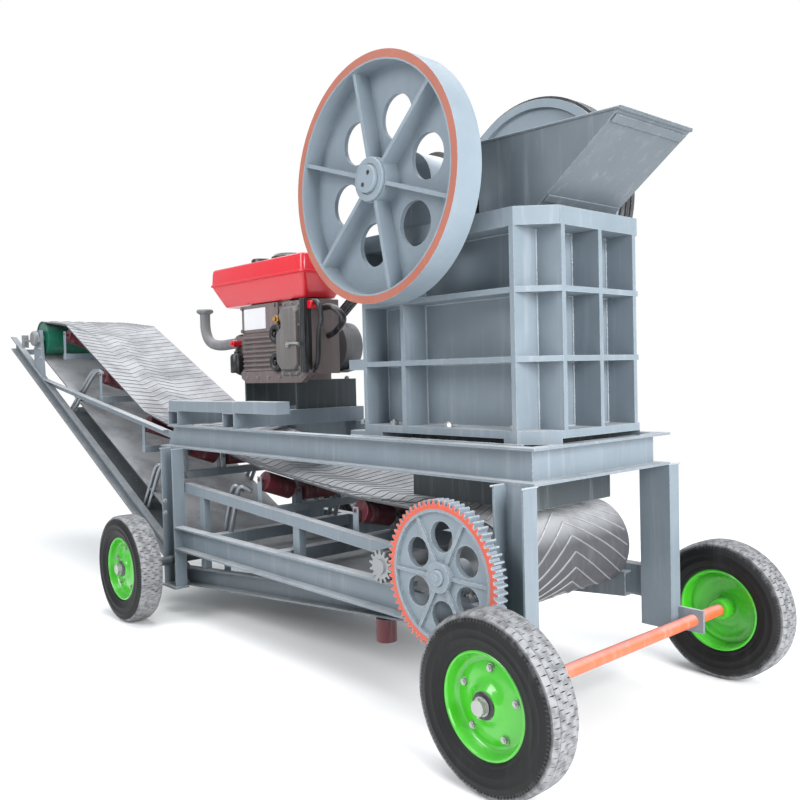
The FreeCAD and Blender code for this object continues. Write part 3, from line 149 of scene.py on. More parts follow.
def add(tree, kind, inputs=None, **settings):
    """A node with its settings, and its inputs set or linked by name or number."""
    made = tree.nodes.new(kind)
    for key, value in settings.items():
        setattr(made, key, value)
    for key, value in (inputs or {}).items():
        if isinstance(value, bpy.types.NodeSocket):
            tree.links.new(value, made.inputs[key])
        else:
            made.inputs[key].default_value = value
    return made


def new_group(name, kind, inputs, outputs):
    """A node group with named sockets: (name, socket type, default or None)."""
    tree = bpy.data.node_groups.new(name, kind)
    for direction, sockets in (("INPUT", inputs), ("OUTPUT", outputs)):
        for label, socket_type, *default in sockets:
            socket = tree.interface.new_socket(label, in_out=direction, socket_type=socket_type)
            if default:
                socket.default_value = default[0]
    return tree, add(tree, "NodeGroupInput").outputs, add(tree, "NodeGroupOutput")


def maths(tree, operation, first, second=0.5, clamp=False):
    return add(tree, "ShaderNodeMath", {0: first, 1: second}, operation=operation,
               use_clamp=clamp).outputs[0]


def times(tree, *values, clamp=False):
    """The product of two or more values; only the last step is clamped."""
    product = values[0]
    for value in values[1:]:
        product = maths(tree, "MULTIPLY", product, value, clamp and value is values[-1])
    return product


def vector_maths(tree, operation, first, second=(0, 0, 0)):
    made = add(tree, "ShaderNodeVectorMath", {0: first, 1: second}, operation=operation)
    return made.outputs["Value" if operation in ("LENGTH", "DOT_PRODUCT") else "Vector"]


def noise(tree, source, scale, detail=2.0, roughness=0.5):
    return add(tree, "ShaderNodeTexNoise", {"Vector": source, "Scale": scale, "Detail": detail,
                                            "Roughness": roughness}).outputs[0]


def ramp(tree, value, low, high, to_low=0.0, to_high=1.0):
    """A smooth step of a value between two places."""
    return add(tree, "ShaderNodeMapRange",
               {"Value": value, "From Min": low, "From Max": high, "To Min": to_low,
                "To Max": to_high}, interpolation_type="SMOOTHSTEP").outputs["Result"]


def blend_colour(tree, factor, first, second, kind="MIX"):
    return add(tree, "ShaderNodeMix", {0: factor, 6: first, 7: second}, data_type="RGBA",
               blend_type=kind).outputs[2]


# ------------------------------------------------------------------ shared surface effects
def weathering_group():
    """Mottled colour, dust on upward faces, streaks, worn edges and fine relief."""
    tree, given, out = new_group(
        "Weathering", "ShaderNodeTree",
        [("Colour", COLOUR, (0.5, 0.5, 0.5, 1)), ("Dust Colour", COLOUR, (0.6, 0.6, 0.6, 1)),
         ("Worn Colour", COLOUR, (0.5, 0.5, 0.5, 1)), ("Dust", NUMBER, 0.4),
         ("Streaks", NUMBER, 0.3), ("Wear", NUMBER, 0.4), ("Mottle", NUMBER, 0.3),
         ("Roughness", NUMBER, 0.5)],
        [("Colour", COLOUR), ("Roughness", NUMBER), ("Height", NUMBER)])
    place = add(tree, "ShaderNodeTexCoord").outputs
    broad = noise(tree, place["Object"], 5.0, 5.0, 0.62)
    fine = noise(tree, place["Object"], 85.0, 3.0)
    long = add(tree, "ShaderNodeMapping", {"Vector": place["Object"], "Scale": (26, 26, 1.6)})
    streak = noise(tree, long.outputs[0], 1.0, 4.0, 0.7)
    swing = maths(tree, "SUBTRACT", broad, 0.5)
    bright = maths(tree, "ADD", times(tree, swing, given["Mottle"]), 1.0)
    grey = add(tree, "ShaderNodeCombineColor", {0: bright, 1: bright, 2: bright}).outputs[0]
    base = blend_colour(tree, 1.0, given["Colour"], grey, "MULTIPLY")
    run = times(tree, ramp(tree, streak, 0.50, 0.78), given["Streaks"])
    base = blend_colour(tree, run, base, given["Dust Colour"])
    up = add(tree, "ShaderNodeSeparateXYZ", {0: place["Normal"]}).outputs[2]
    patch = times(tree, ramp(tree, broad, 0.30, 0.62, 0.55, 1.0), ramp(tree, up, 0.25, 0.95),
                  given["Dust"])
    base = blend_colour(tree, patch, base, given["Dust Colour"])
    soft = add(tree, "ShaderNodeBevel", {"Radius": 0.005}, samples=4).outputs[0]
    flat = add(tree, "ShaderNodeNewGeometry").outputs["Normal"]
    turned = maths(tree, "SUBTRACT", 1.0, vector_maths(tree, "DOT_PRODUCT", soft, flat))
    worn = times(tree, ramp(tree, turned, 0.015, 0.16), ramp(tree, fine, 0.36, 0.6),
                 given["Wear"], clamp=True)
    base = blend_colour(tree, worn, base, given["Worn Colour"])
    rough = maths(tree, "ADD", given["Roughness"],
                  maths(tree, "ADD", times(tree, patch, 0.35), times(tree, swing, 0.18)),
                  clamp=True)
    height = maths(tree, "ADD", times(tree, broad, 0.5), times(tree, fine, 0.5))
    for label, value in (("Colour", base), ("Roughness", rough), ("Height", height)):
        tree.links.new(value, out.inputs[label])
    return tree


def rim_face_group():
    """A mask of the ring round an axis along Y that faces one way."""
    tree, given, out = new_group(
        "Rim face", "ShaderNodeTree",
        [("Axis", VECTOR, (0, 0, 0)), ("Inner Radius", NUMBER, 0.4), ("Facing", NUMBER, -1.0)],
        [("Mask", NUMBER)])
    place = add(tree, "ShaderNodeTexCoord").outputs
    apart = vector_maths(tree, "SUBTRACT", place["Object"], given["Axis"])
    reach = vector_maths(tree, "LENGTH", vector_maths(tree, "MULTIPLY", apart, (1, 0, 1)))
    wander = times(tree, noise(tree, place["Object"], 30.0), 0.004)
    outside = maths(tree, "GREATER_THAN", maths(tree, "ADD", reach, wander),
                    given["Inner Radius"])
    turned = add(tree, "ShaderNodeSeparateXYZ", {0: place["Normal"]}).outputs[1]
    facing = maths(tree, "GREATER_THAN", times(tree, turned, given["Facing"]), 0.6)
    tree.links.new(times(tree, outside, facing), out.inputs["Mask"])
    return tree


GROUPS = {}
MATERIALS = {}
DUST_SPAN = 1.8
WEAR_SPAN = 2.0
RELIEF_DEPTH = 0.002
COAT_ROUGHNESS = 0.12


def finish(name, base, roughness, dust=0.4, streaks=0.2, wear=0.4, mottle=0.3, metallic=0.0,
           worn=(0.36, 0.38, 0.39), relief=0.15, coat=0.0, specular=0.5, tint=None):
    """A material with its own values of the shared weathering."""
    material = MATERIALS[name] = bpy.data.materials.new(name)
    material.use_nodes = True
    tree = material.node_tree
    shader = tree.nodes["Principled BSDF"]
    group = add(tree, "ShaderNodeGroup", node_tree=GROUPS["weathering"])
    for label, value in (("Dust Colour", (*colours().dust, 1)), ("Worn Colour", (*worn, 1)),
                         ("Dust", dust * colours().dust_amount * DUST_SPAN),
                         ("Streaks", streaks), ("Wear", wear * colours().edge_wear * WEAR_SPAN),
                         ("Mottle", mottle), ("Roughness", roughness)):
        group.inputs[label].default_value = value
    if tint is None:
        group.inputs["Colour"].default_value = (*base, 1)
    else:
        tree.links.new(tint(tree, base), group.inputs["Colour"])
    tree.links.new(group.outputs["Colour"], shader.inputs["Base Color"])
    tree.links.new(group.outputs["Roughness"], shader.inputs["Roughness"])
    bump = add(tree, "ShaderNodeBump", {"Height": group.outputs["Height"], "Strength": relief,
                                        "Distance": RELIEF_DEPTH})
    tree.links.new(bump.outputs[0], shader.inputs["Normal"])
    for label, value in (("Metallic", metallic), ("Coat Weight", coat),
                         ("Coat Roughness", COAT_ROUGHNESS), ("Specular IOR Level", specular)):
        shader.inputs[label].default_value = value


def ringed(axis, inner_radius, facing, ring_colour):
    """A colour source: the base, with one ring of another colour on a rim's face."""
    def tint(tree, base):
        mask = add(tree, "ShaderNodeGroup", node_tree=GROUPS["rim_face"])
        for label, value in (("Axis", (axis[0], 0, axis[1])), ("Inner Radius", inner_radius),
                             ("Facing", facing)):
            mask.inputs[label].default_value = value
        return blend_colour(tree, mask.outputs[0], (*base, 1), (*ring_colour, 1))
    return tint


def past_hub(end_colour):
    """A colour source: the base, with bare metal past the wheels' hubs."""
    def tint(tree, base):
        place = add(tree, "ShaderNodeTexCoord").outputs["Object"]
        across = add(tree, "ShaderNodeSeparateXYZ", {0: place}).outputs[1]
        mask = maths(tree, "GREATER_THAN", maths(tree, "ABSOLUTE", across), HUB_END)
        return blend_colour(tree, mask, (*base, 1), (*end_colour, 1))
    return tint


def dusted_and_shaded(dust_colour, strength):
    """A colour source: the base, lightened towards the dust colour where the mesh's own dust
    attribute says: on the tyres, dust and a painted highlight on the lugs, with painted shade left
    in the grooves.
    """
    def tint(tree, base):
        mask = add(tree, "ShaderNodeAttribute", attribute_name="dust").outputs["Fac"]
        grain = noise(tree, add(tree, "ShaderNodeTexCoord").outputs["Object"], 38.0, 4.0)
        amount = times(tree, mask, ramp(tree, grain, 0.3, 0.62, 0.45, 1.0), strength)
        return blend_colour(tree, amount, (*base, 1), (*dust_colour, 1))
    return tint


def scaled(base, factor):
    return [factor * value for value in base]


def make_materials():
    GROUPS.update(weathering=weathering_group(), rim_face=rim_face_group())
    c = colours()
    bare_ends = past_hub((0.35, 0.35, 0.35))
    finish("grey_paint", c.grey, 0.46, dust=0.75, streaks=0.16, wear=0.6, mottle=0.35)
    # A darker copy of the machine grey: painted shade on the conveyor's chords.
    finish("chord_shaded_paint", scaled(c.grey, 0.62), 0.46, dust=0.45, streaks=0.12, wear=0.6,
           mottle=0.35)
    # A darker copy of the machine grey: painted shade on the hopper, whose sides and underside sit
    # in shade.
    finish("hopper_shaded_paint", scaled(c.grey, 0.55), 0.40, dust=0.15, streaks=0.12, wear=0.5,
           mottle=0.45)
    # Lighter copies of the machine grey: painted light on the flywheels and the gear; their orange
    # rings are real paint.
    for side, label in SIDES:
        finish(f"flywheel_lit_paint_{label}", scaled(c.grey, 1.22), 0.42, dust=0.12, wear=0.5,
               streaks=0.05, tint=ringed(SHAFT, 0.437, side, c.wheel_ring))
    finish("gear_lit_paint", scaled(c.grey, 1.2), 0.42, dust=0.10, wear=0.7, streaks=0.05,
           worn=(0.62, 0.60, 0.58), tint=ringed(TAIL, 0.240, NEAR, c.gear_ring))
    # Near black on the pan, the engine bed and the skirt: painted shade.
    finish("dark_grey_paint", c.dark_grey, 0.5, dust=0.10, streaks=0.12, mottle=0.5)
    finish("orange_red_paint", c.orange, 0.42, dust=0.35, wear=0.5, worn=(0.62, 0.40, 0.34),
           tint=bare_ends)
    # Near black on the rear axle: painted shade where it sits in shadow; its ends stay bare metal.
    finish("rear_axle_shaded_paint", c.dark_grey, 0.5, dust=0.25, wear=0.4, tint=bare_ends)
    finish("green_paint", c.green, 0.26, dust=0.06, streaks=0.04, wear=0.15, mottle=0.14,
           coat=0.6, relief=0.04)
    finish("dark_green_paint", c.dark_green, 0.35, dust=0.15, coat=0.3)
    finish("red_paint", c.red, 0.30, dust=0.10, streaks=0.03, wear=0.12, mottle=0.12, coat=0.5,
           relief=0.05)
    finish("maroon_paint", c.maroon, 0.45, dust=0.15)
    finish("engine_casting", c.casting, 0.62, dust=0.35, mottle=0.5, relief=0.5,
           worn=(0.30, 0.27, 0.26))
    finish("cover_casting", (0.16, 0.145, 0.14), 0.5, dust=0.3, mottle=0.35, relief=0.4,
           worn=(0.45, 0.42, 0.40), metallic=0.3)
    finish("black_enamel", (0.012, 0.012, 0.014), 0.35, dust=0.25, mottle=0.2)
    finish("grey_cast_iron", (0.15, 0.155, 0.16), 0.6, dust=0.3, relief=0.4)
    finish("cast_manganese_steel", (0.13, 0.125, 0.12), 0.6, dust=0.6, streaks=0.4, relief=0.5,
           metallic=0.4)
    finish("bare_steel", (0.27, 0.28, 0.29), 0.42, dust=0.1, metallic=0.6, relief=0.2)
    finish("galvanised_bar", (0.24, 0.26, 0.28), 0.34, dust=0.2, metallic=0.6, mottle=0.5)
    finish("zinc_nut", (0.40, 0.40, 0.39), 0.4, dust=0.2, metallic=0.8)
    finish("brass", (0.62, 0.38, 0.12), 0.35, dust=0.1, metallic=0.85)
    finish("name_plate", (0.68, 0.68, 0.70), 0.45, dust=0.0, streaks=0.12, mottle=0.15)
    finish("weld_bead", (0.24, 0.28, 0.31), 0.45, dust=0.5, relief=0.3)
    finish("drive_belt_rubber", c.rubber, 0.7, dust=0.25)
    finish("belt_rubber", (0.050, 0.052, 0.058), 0.62, dust=0.72, streaks=0.12, mottle=0.5,
           relief=0.4, worn=(0.4, 0.4, 0.4), wear=0.1)
    # A lighter copy of the belt's rubber: painted light on the raised ribs, with the belt between
    # them left dark as painted shade.
    finish("belt_rib_lit_rubber", (0.17, 0.175, 0.185), 0.70, dust=0.85, streaks=0.10, mottle=0.5,
           relief=0.4, worn=(0.35, 0.35, 0.35), wear=0.1)
    # The tyres' dust attribute lightens the lugs with dust and a painted highlight, and leaves the
    # grooves dark as painted shade.
    finish("tyre_rubber", c.tyre, 0.55, specular=0.25, dust=0.0, streaks=0.02, wear=0.04,
           worn=(0.1, 0.1, 0.1), tint=dusted_and_shaded(c.dust, 0.92))


# finishes of the frame's nodes that differ from their slots
SLOT_FINISHES = {"tyre": "tyre_rubber", "black_rubber": "belt_rubber",
                 "bare_aluminium": "cover_casting"}
# The engine bed, skirt, chords, hopper and rear axle take darker copies as painted shade; the
# flywheels and the gear take lighter copies as painted light.
NODE_FINISHES = {"flywheel_near": "flywheel_lit_paint_near", "flywheel_far": "flywheel_lit_paint_far",
                 "gear_wheel": "gear_lit_paint", "engine_base": "dark_grey_paint",
                 "conveyor_chord_near": "chord_shaded_paint", "conveyor_chord_far": "chord_shaded_paint",
                 "hopper": "hopper_shaded_paint", "discharge_skirt": "dark_grey_paint",
                 "axle_rear": "rear_axle_shaded_paint"}


# ------------------------------------------------------------------ shapes
def turns(total, shift=0.0):
    """Evenly spaced angles of a full circle."""
    return [2 * math.pi * (k + shift) / total for k in range(total)]


def spoke(angle):
    """A unit vector in the XZ plane, from +X towards +Z."""
    return Vector((math.cos(angle), 0, math.sin(angle)))


def rectangle(a, b):
    return [(a[0], b[0]), (a[1], b[0]), (a[1], b[1]), (a[0], b[1])]


def centred(middle, half):
    """The two ends of a span about its middle."""
    return middle - half, middle + half


def mirrored(side, low, high):
    """A span across the machine, on one of its sides."""
    return sorted((side * low, side * high))


class Solid:
    """Closed shapes gathered into one mesh."""

    def __init__(self):
        self.mesh = bmesh.new()

    def hull_of(self, lower, upper):
        """A prism between two outlines with the same number of corners."""
        low = [self.mesh.verts.new(p) for p in lower]
        high = [self.mesh.verts.new(p) for p in upper]
        self.mesh.faces.new(list(reversed(low)))
        self.mesh.faces.new(high)
        for i in range(len(low)):
            j = (i + 1) % len(low)
            self.mesh.faces.new([low[i], low[j], high[j], high[i]])

    def plate(self, outline, z, top=None):
        """An XY outline between two heights, with another outline at the top if given."""
        self.hull_of([(a, b, z[0]) for a, b in outline],
                     [(a, b, z[1]) for a, b in top or outline])

    def slab(self, outline, y, end=None):
        """An XZ outline between two places along Y, with another at the end if given."""
        self.hull_of([(a, y[0], b) for a, b in outline],
                     [(a, y[1], b) for a, b in end or outline])

    def box(self, x, y, z):
        self.plate(rectangle(x, y), z)

    def stack(self, rings):
        """Skins through rings of points, closed at both ends."""
        rows = [[self.mesh.verts.new(p) for p in ring] for ring in rings]
        for first, second in zip(rows, rows[1:]):
            for i in range(len(first)):
                j = (i + 1) % len(first)
                self.mesh.faces.new([first[i], first[j], second[j], second[i]])
        self.mesh.faces.new(list(reversed(rows[0])))
        self.mesh.faces.new(rows[-1])

    def lathe(self, profile, centre, axis=ACROSS, sides=64):
        """Turns (radius, along) points about an axis; a profile off the axis is a closed ring."""
        turn = axis.to_track_quat("Z", "Y").to_matrix()
        centre = Vector(centre)
        rows = []
        for radius, along in profile:
            angles = turns(sides) if radius > SMALL else [0.0]
            rows.append([self.mesh.verts.new(centre + turn @ Vector(
                (radius * math.cos(angle), radius * math.sin(angle), along)))
                for angle in angles])
        pairs = list(zip(rows, rows[1:]))
        if profile[0][0] > SMALL:
            pairs.append((rows[-1], rows[0]))
        for first, second in pairs:
            for i in range(sides):
                j = (i + 1) % sides
                corners = [first[i % len(first)], first[j % len(first)],
                           second[j % len(second)], second[i % len(second)]]
                self.mesh.faces.new(list(dict.fromkeys(corners)))

    def rod(self, start, end, radius, sides=20):
        """A round bar between two points, with its edges eased."""
        start, end = Vector(start), Vector(end)
        long = (end - start).length
        edge = min(radius, long) * 0.08
        self.lathe([(0, 0), (radius - edge, 0), (radius, edge), (radius, long - edge),
                    (radius - edge, long), (0, long)], start, (end - start).normalized(), sides)

    def tube(self, points, radius, sides=12, rounds=3):
        """A round bar along points, with its corners rounded off."""
        path = [Vector(p) for p in points]
        for _ in range(rounds):
            cut = [path[0]]
            for first, second in zip(path, path[1:]):
                cut += [first.lerp(second, 0.25), first.lerp(second, 0.75)]
            path = cut + [path[-1]]
        side = (path[1] - path[0]).orthogonal().normalized()
        rings = []
        for i, point in enumerate(path):
            along = (path[min(i + 1, len(path) - 1)] - path[max(i - 1, 0)]).normalized()
            side = (side - along * side.dot(along)).normalized()
            other = along.cross(side)
            rings.append([point + radius * (math.cos(angle) * side + math.sin(angle) * other)
                          for angle in turns(sides)])
        self.stack(rings)

    def hexagon(self, foot, axis, radius, high):
        """A hexagonal prism that stands on a point."""
        side = axis.orthogonal().normalized()
        other = axis.cross(side)
        ring = [Vector(foot) + radius * (math.cos(angle) * side + math.sin(angle) * other)
                for angle in turns(6)]
        self.hull_of(ring, [p + axis * high for p in ring])

    def shape(self, name):
        """The gathered shapes as an object of the scene."""
        bmesh.ops.recalc_face_normals(self.mesh, faces=self.mesh.faces)
        mesh = bpy.data.meshes.new(name)
        self.mesh.to_mesh(mesh)
        self.mesh.free()
        return link(name, mesh)


def link(name, data):
    """A new object of the scene with its data."""
    made = bpy.data.objects.new(name, data)
    bpy.context.scene.collection.objects.link(made)
    return made


def show(name, solid, paint, body="machine", bevel=0.0, replaces=(), smooth=38):
    """Makes the gathered shapes a piece that rides on a body; its slot is its paint's name."""
    made = solid.shape(name)
    made.data.materials.append(MATERIALS[paint])
    if bevel:
        rounded_edges = made.modifiers.new("Rounded edges", "BEVEL")
        rounded_edges.width = bevel
        rounded_edges.segments = 2
        rounded_edges.limit_method = "ANGLE"
        rounded_edges.angle_limit = math.radians(35)
    return settle(made, body, smooth, replaces)


def settle(made, body, smooth, replaces=()):
    made.data.shade_smooth()
    made.data.set_sharp_from_angle(angle=math.radians(smooth))
    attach(made, body)
    if replaces:
        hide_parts(*replaces)
    return made


def mark_dust_and_shade(mesh, amount):
    """Gives every vertex its own share of dust and painted light, from its place."""
    layer = mesh.attributes.new("dust", "FLOAT", "POINT")
    layer.data.foreach_set("value", [amount(vertex.co) for vertex in mesh.vertices])


# ------------------------------------------------------------------ geometry node trees
TREES = {}


def read(tree, name, kind):
    return add(tree, "GeometryNodeInputNamedAttribute", {"Name": name},
               data_type=kind).outputs["Attribute"]


def aligned(tree, name, axis, pivot="AUTO", **inputs):
    """A rotation that turns one axis towards a vector kept on the points."""
    return add(tree, "FunctionNodeAlignRotationToVector",
               {"Vector": read(tree, name, "FLOAT_VECTOR"), **inputs},
               axis=axis, pivot_axis=pivot).outputs[0]


def close_tree(tree, points, shape, material, out, **placing):
    """Puts a shape on the points, realised and painted."""
    placed = add(tree, "GeometryNodeInstanceOnPoints",
                 {"Points": points, "Instance": shape, **placing}).outputs[0]
    real = add(tree, "GeometryNodeRealizeInstances", {"Geometry": placed}).outputs[0]
    painted = add(tree, "GeometryNodeSetMaterial", {"Geometry": real, "Material": material})
    tree.links.new(painted.outputs[0], out.inputs[0])
    return tree


def nut_tree():
    """Hexagon nuts on washers, with a stud end, one on each point along its axis."""
    tree, given, out = new_group(
        "Hexagon nuts", "GeometryNodeTree",
        [("Geometry", GEOMETRY), ("Across Flats", NUMBER, 0.03), ("Height", NUMBER, 0.018),
         ("Material", MATERIAL)], [("Geometry", GEOMETRY)])
    radius = times(tree, given["Across Flats"], 1 / math.sqrt(3))
    parts = add(tree, "GeometryNodeJoinGeometry")
    # washer, nut and stud end: sides, then shares of the radius and of the height
    for sides, wide, tall, foot in ((18, 1.22, 0.16, -0.02), (6, 1.0, 0.80, 0.14),
                                    (12, 0.52, 1.25, 0.0)):
        deep = times(tree, given["Height"], tall)
        body = add(tree, "GeometryNodeMeshCylinder",
                   {"Vertices": sides, "Radius": times(tree, radius, wide),
                    "Depth": deep}).outputs["Mesh"]
        rise = maths(tree, "ADD", times(tree, deep, 0.5), times(tree, given["Height"], foot))
        move = add(tree, "ShaderNodeCombineXYZ", {2: rise}).outputs[0]
        lifted = add(tree, "GeometryNodeTransform", {"Geometry": body, "Translation": move})
        tree.links.new(lifted.outputs[0], parts.inputs[0])
    return close_tree(tree, given["Geometry"], parts.outputs[0], given["Material"], out,
                      Rotation=aligned(tree, "axis", "Z"), Scale=read(tree, "size", "FLOAT"))


def repeat_tree():
    """One shape on each point, stood on its axis and turned along its way."""
    tree, given, out = new_group(
        "Repeat along path", "GeometryNodeTree",
        [("Geometry", GEOMETRY), ("Shape", "NodeSocketObject"), ("Material", MATERIAL)],
        [("Geometry", GEOMETRY)])
    shape = add(tree, "GeometryNodeObjectInfo", {"Object": given["Shape"]}).outputs["Geometry"]
    aimed = aligned(tree, "along", "X", "Z", Rotation=aligned(tree, "axis", "Z"))
    return close_tree(tree, given["Geometry"], shape, given["Material"], out, Rotation=aimed)


def bead_tree():
    """Weld ripples of uneven size along every edge of a line."""
    tree, given, out = new_group(
        "Weld beads", "GeometryNodeTree",
        [("Geometry", GEOMETRY), ("Step", NUMBER, 0.012), ("Radius", NUMBER, 0.006),
         ("Seed", "NodeSocketInt", 7), ("Material", MATERIAL)], [("Geometry", GEOMETRY)])
    line = add(tree, "GeometryNodeMeshToCurve", {0: given["Geometry"]}).outputs[0]
    points = add(tree, "GeometryNodeResampleCurve", {"Curve": line, "Length": given["Step"]},
                 mode="LENGTH").outputs[0]
    drop = add(tree, "GeometryNodeMeshIcoSphere",
               {"Radius": given["Radius"], "Subdivisions": 1}).outputs[0]
    uneven = add(tree, "FunctionNodeRandomValue",
                 {2: 0.75, 3: 1.15, "Seed": given["Seed"]}, data_type="FLOAT").outputs[1]
    return close_tree(tree, points, drop, given["Material"], out, Scale=uneven)


def grow(name, points, tree, values, paint, slot, body="machine", edges=(), smooth=38, **kept):
    """Runs a tree on points or edges and keeps the result; kept holds each point's values."""
    mesh = bpy.data.meshes.new(name)
    mesh.from_pydata([tuple(p) for p in points], edges, [])
    for label, data in kept.items():
        if isinstance(data[0], Vector):
            layer = mesh.attributes.new(label, "FLOAT_VECTOR", "POINT")
            layer.data.foreach_set("vector", [n for v in data for n in v])
        else:
            mesh.attributes.new(label, "FLOAT", "POINT").data.foreach_set("value", data)
    made = link(name, mesh)
    modifier = made.modifiers.new("Grow", "NODES")
    modifier.node_group = tree
    values = {**values, "Material": MATERIALS[paint]}
    for item in tree.interface.items_tree:
        if item.item_type == "SOCKET" and item.in_out == "INPUT" and item.name in values:
            modifier[item.identifier] = values[item.name]
    graph = bpy.context.evaluated_depsgraph_get()
    grown = bpy.data.meshes.new_from_object(made.evaluated_get(graph),
                                            preserve_all_data_layers=True, depsgraph=graph)
    made.modifiers.remove(modifier)
    made.data = grown
    grown.name = name
    return settle(made, body, smooth)


def nuts(name, places, body="machine", slot="bare_steel"):
    """Nuts from rows of (position, axis, size)."""
    points, axes, scales = zip(*places)
    return grow(name, points, TREES["nuts"],
                {"Across Flats": sizes().nut_across, "Height": sizes().nut_high}, "zinc_nut",
                slot, body, smooth=30, axis=axes, size=scales)


def beads(name, lines, size=1.0):
    """Weld beads along straight lines given by their two ends."""
    return grow(name, [end for line in lines for end in line], TREES["beads"],
                {"Step": sizes().bead_step * size, "Radius": sizes().bead_radius * size,
                 "Seed": 7}, "weld_bead", "grey_paint",
                edges=[(2 * i, 2 * i + 1) for i in range(len(lines))], smooth=180)


# ------------------------------------------------------------------ operators
class CrusherPiece:
    """What every operator of the crusher shares."""
    bl_options = {"REGISTER", "UNDO"}

    def execute(self, context):
        self.make()
        return {"FINISHED"}


class CRUSHER_OT_finishes(CrusherPiece, bpy.types.Operator):
    """Make the materials and paint the nodes of the frame"""
    bl_idname = "crusher.finishes"
    bl_label = "Finishes"

    def make(self):
        make_materials()
        TREES.update(nuts=nut_tree(), repeat=repeat_tree(), beads=bead_tree())
        slots = {row["node"]: row["material_slot"] for row in frame["record"]["subparts"]}
        for name, node in frame["nodes"].items():
            paint = NODE_FINISHES.get(name, SLOT_FINISHES.get(slots[name], slots[name]))
            node.data.materials.clear()
            node.data.materials.append(MATERIALS[paint])


def wheel_places():
    """Each wheel's label, centre and side."""
    for end, x in AXLE_X.items():
        for side, label in SIDES:
            yield f"{end}_{label}", Vector((x, side * TRACK, AXLE_Z)), side


class CRUSHER_OT_tyres(CrusherPiece, bpy.types.Operator):
    """Build the four tyres with their side rings and tread"""
    bl_idname = "crusher.tyres"
    bl_label = "Tyres"
    # half of the section from bead to crown, then the seat: radius and place across
    half_profile = ((0.163, 0.047), (0.167, 0.053), (0.176, 0.0575), (0.181, 0.0575),
                    (0.184, 0.0605), (0.200, 0.0645), (0.203, 0.0665), (0.207, 0.0665),
                    (0.210, 0.0650), (0.228, 0.0672), (0.231, 0.0690), (0.235, 0.0690),
                    (0.238, 0.0668), (0.250, 0.0640), (0.260, 0.0580), (0.2665, 0.0480),
                    (0.2681, 0.0300), (0.2686, 0.0100))
    seat = ((0.158, -0.04), (0.158, 0.04))
    crown = 0.2686
    outer_radius = 0.28
    dusty_from = 0.2600
    row_edges = (-0.0570, -0.0338, -0.0114, 0.0114, 0.0338, 0.0570)
    row_gap, block_gap, notch = 0.0003, 0.0005, 0.0021
    shoulder_from, shoulder_drop = 0.05, 0.0075

    def make(self):
        lug = self.lug()
        outer = list(self.half_profile)
        profile = [*outer, *((r, -y) for r, y in reversed(outer)), *self.seat]
        axes = [spoke(angle) for angle in turns(sizes().tread_count)]
        ways = [Vector((-out.z, 0, out.x)) for out in axes]
        for label, centre, _ in wheel_places():
            carcass = Solid()
            carcass.lathe(profile, centre, sides=96)
            made = show(f"tyre_carcass_{label}", carcass, "tyre_rubber",
                        f"wheel_{label}", replaces=(f"tyre_{label}",))
            # A little dust on the carcass's crown band; the groove floors stay darker than the
            # lugs as painted shade.
            mark_dust_and_shade(made.data, lambda spot: 0.12 if math.hypot(
                spot.x - centre.x, spot.z - centre.z) > self.dusty_from else 0.0)
            grow(f"tyre_tread_{label}", [centre + out * self.crown for out in axes],
                 TREES["repeat"], {"Shape": lug}, "tyre_rubber", "tyre", f"wheel_{label}",
                 smooth=30, axis=axes, along=ways)
        bpy.data.objects.remove(lug)

    def lug(self):
        """One pitch of tread: five staggered blocks with a notch between, and side ticks."""
        solid = Solid()
        top = sizes().tread_depth - 0.0003
        half = math.pi * 0.2796 / sizes().tread_count
        end, waist = half - self.block_gap, half - self.notch
        for row, (low, high) in enumerate(zip(self.row_edges, self.row_edges[1:])):
            shift = (row % 2) * half
            y0, y1 = low + self.row_gap, high - self.row_gap
            middle = (y0 + y1) / 2
            worn = 0.0010 if row in (0, 4) else 0.0
            lower, upper = [], []
            for x, y in ((-end, y0), (end, y0), (waist, middle), (end, y1), (-end, y1),
                         (-waist, middle)):
                x += shift
                drop = self.shoulder_drop if abs(y) > self.shoulder_from else 0.0
                lower.append((x, y, -0.004 - 1.2 * drop))
                upper.append((x, y, top - drop - worn - x ** 2 / (2 * self.outer_radius)))
            solid.hull_of(lower, upper)
        for turn in (1, -1):
            for x in (-0.0070, 0.0070):
                wide = centred(x, 0.0024)
                solid.plate(rectangle(wide, (turn * 0.0550, turn * 0.0632)), (-0.020, -0.0065),
                            rectangle(wide, (turn * 0.0520, turn * 0.0602)))
        made = solid.shape("tread_lug")
        # Lug tops: dust with a painted highlight; the lug feet stay dark as painted shade in the
        # grooves.
        mark_dust_and_shade(made.data, lambda spot: 0.46 if spot.z > -0.002 else 0.06)
        return made


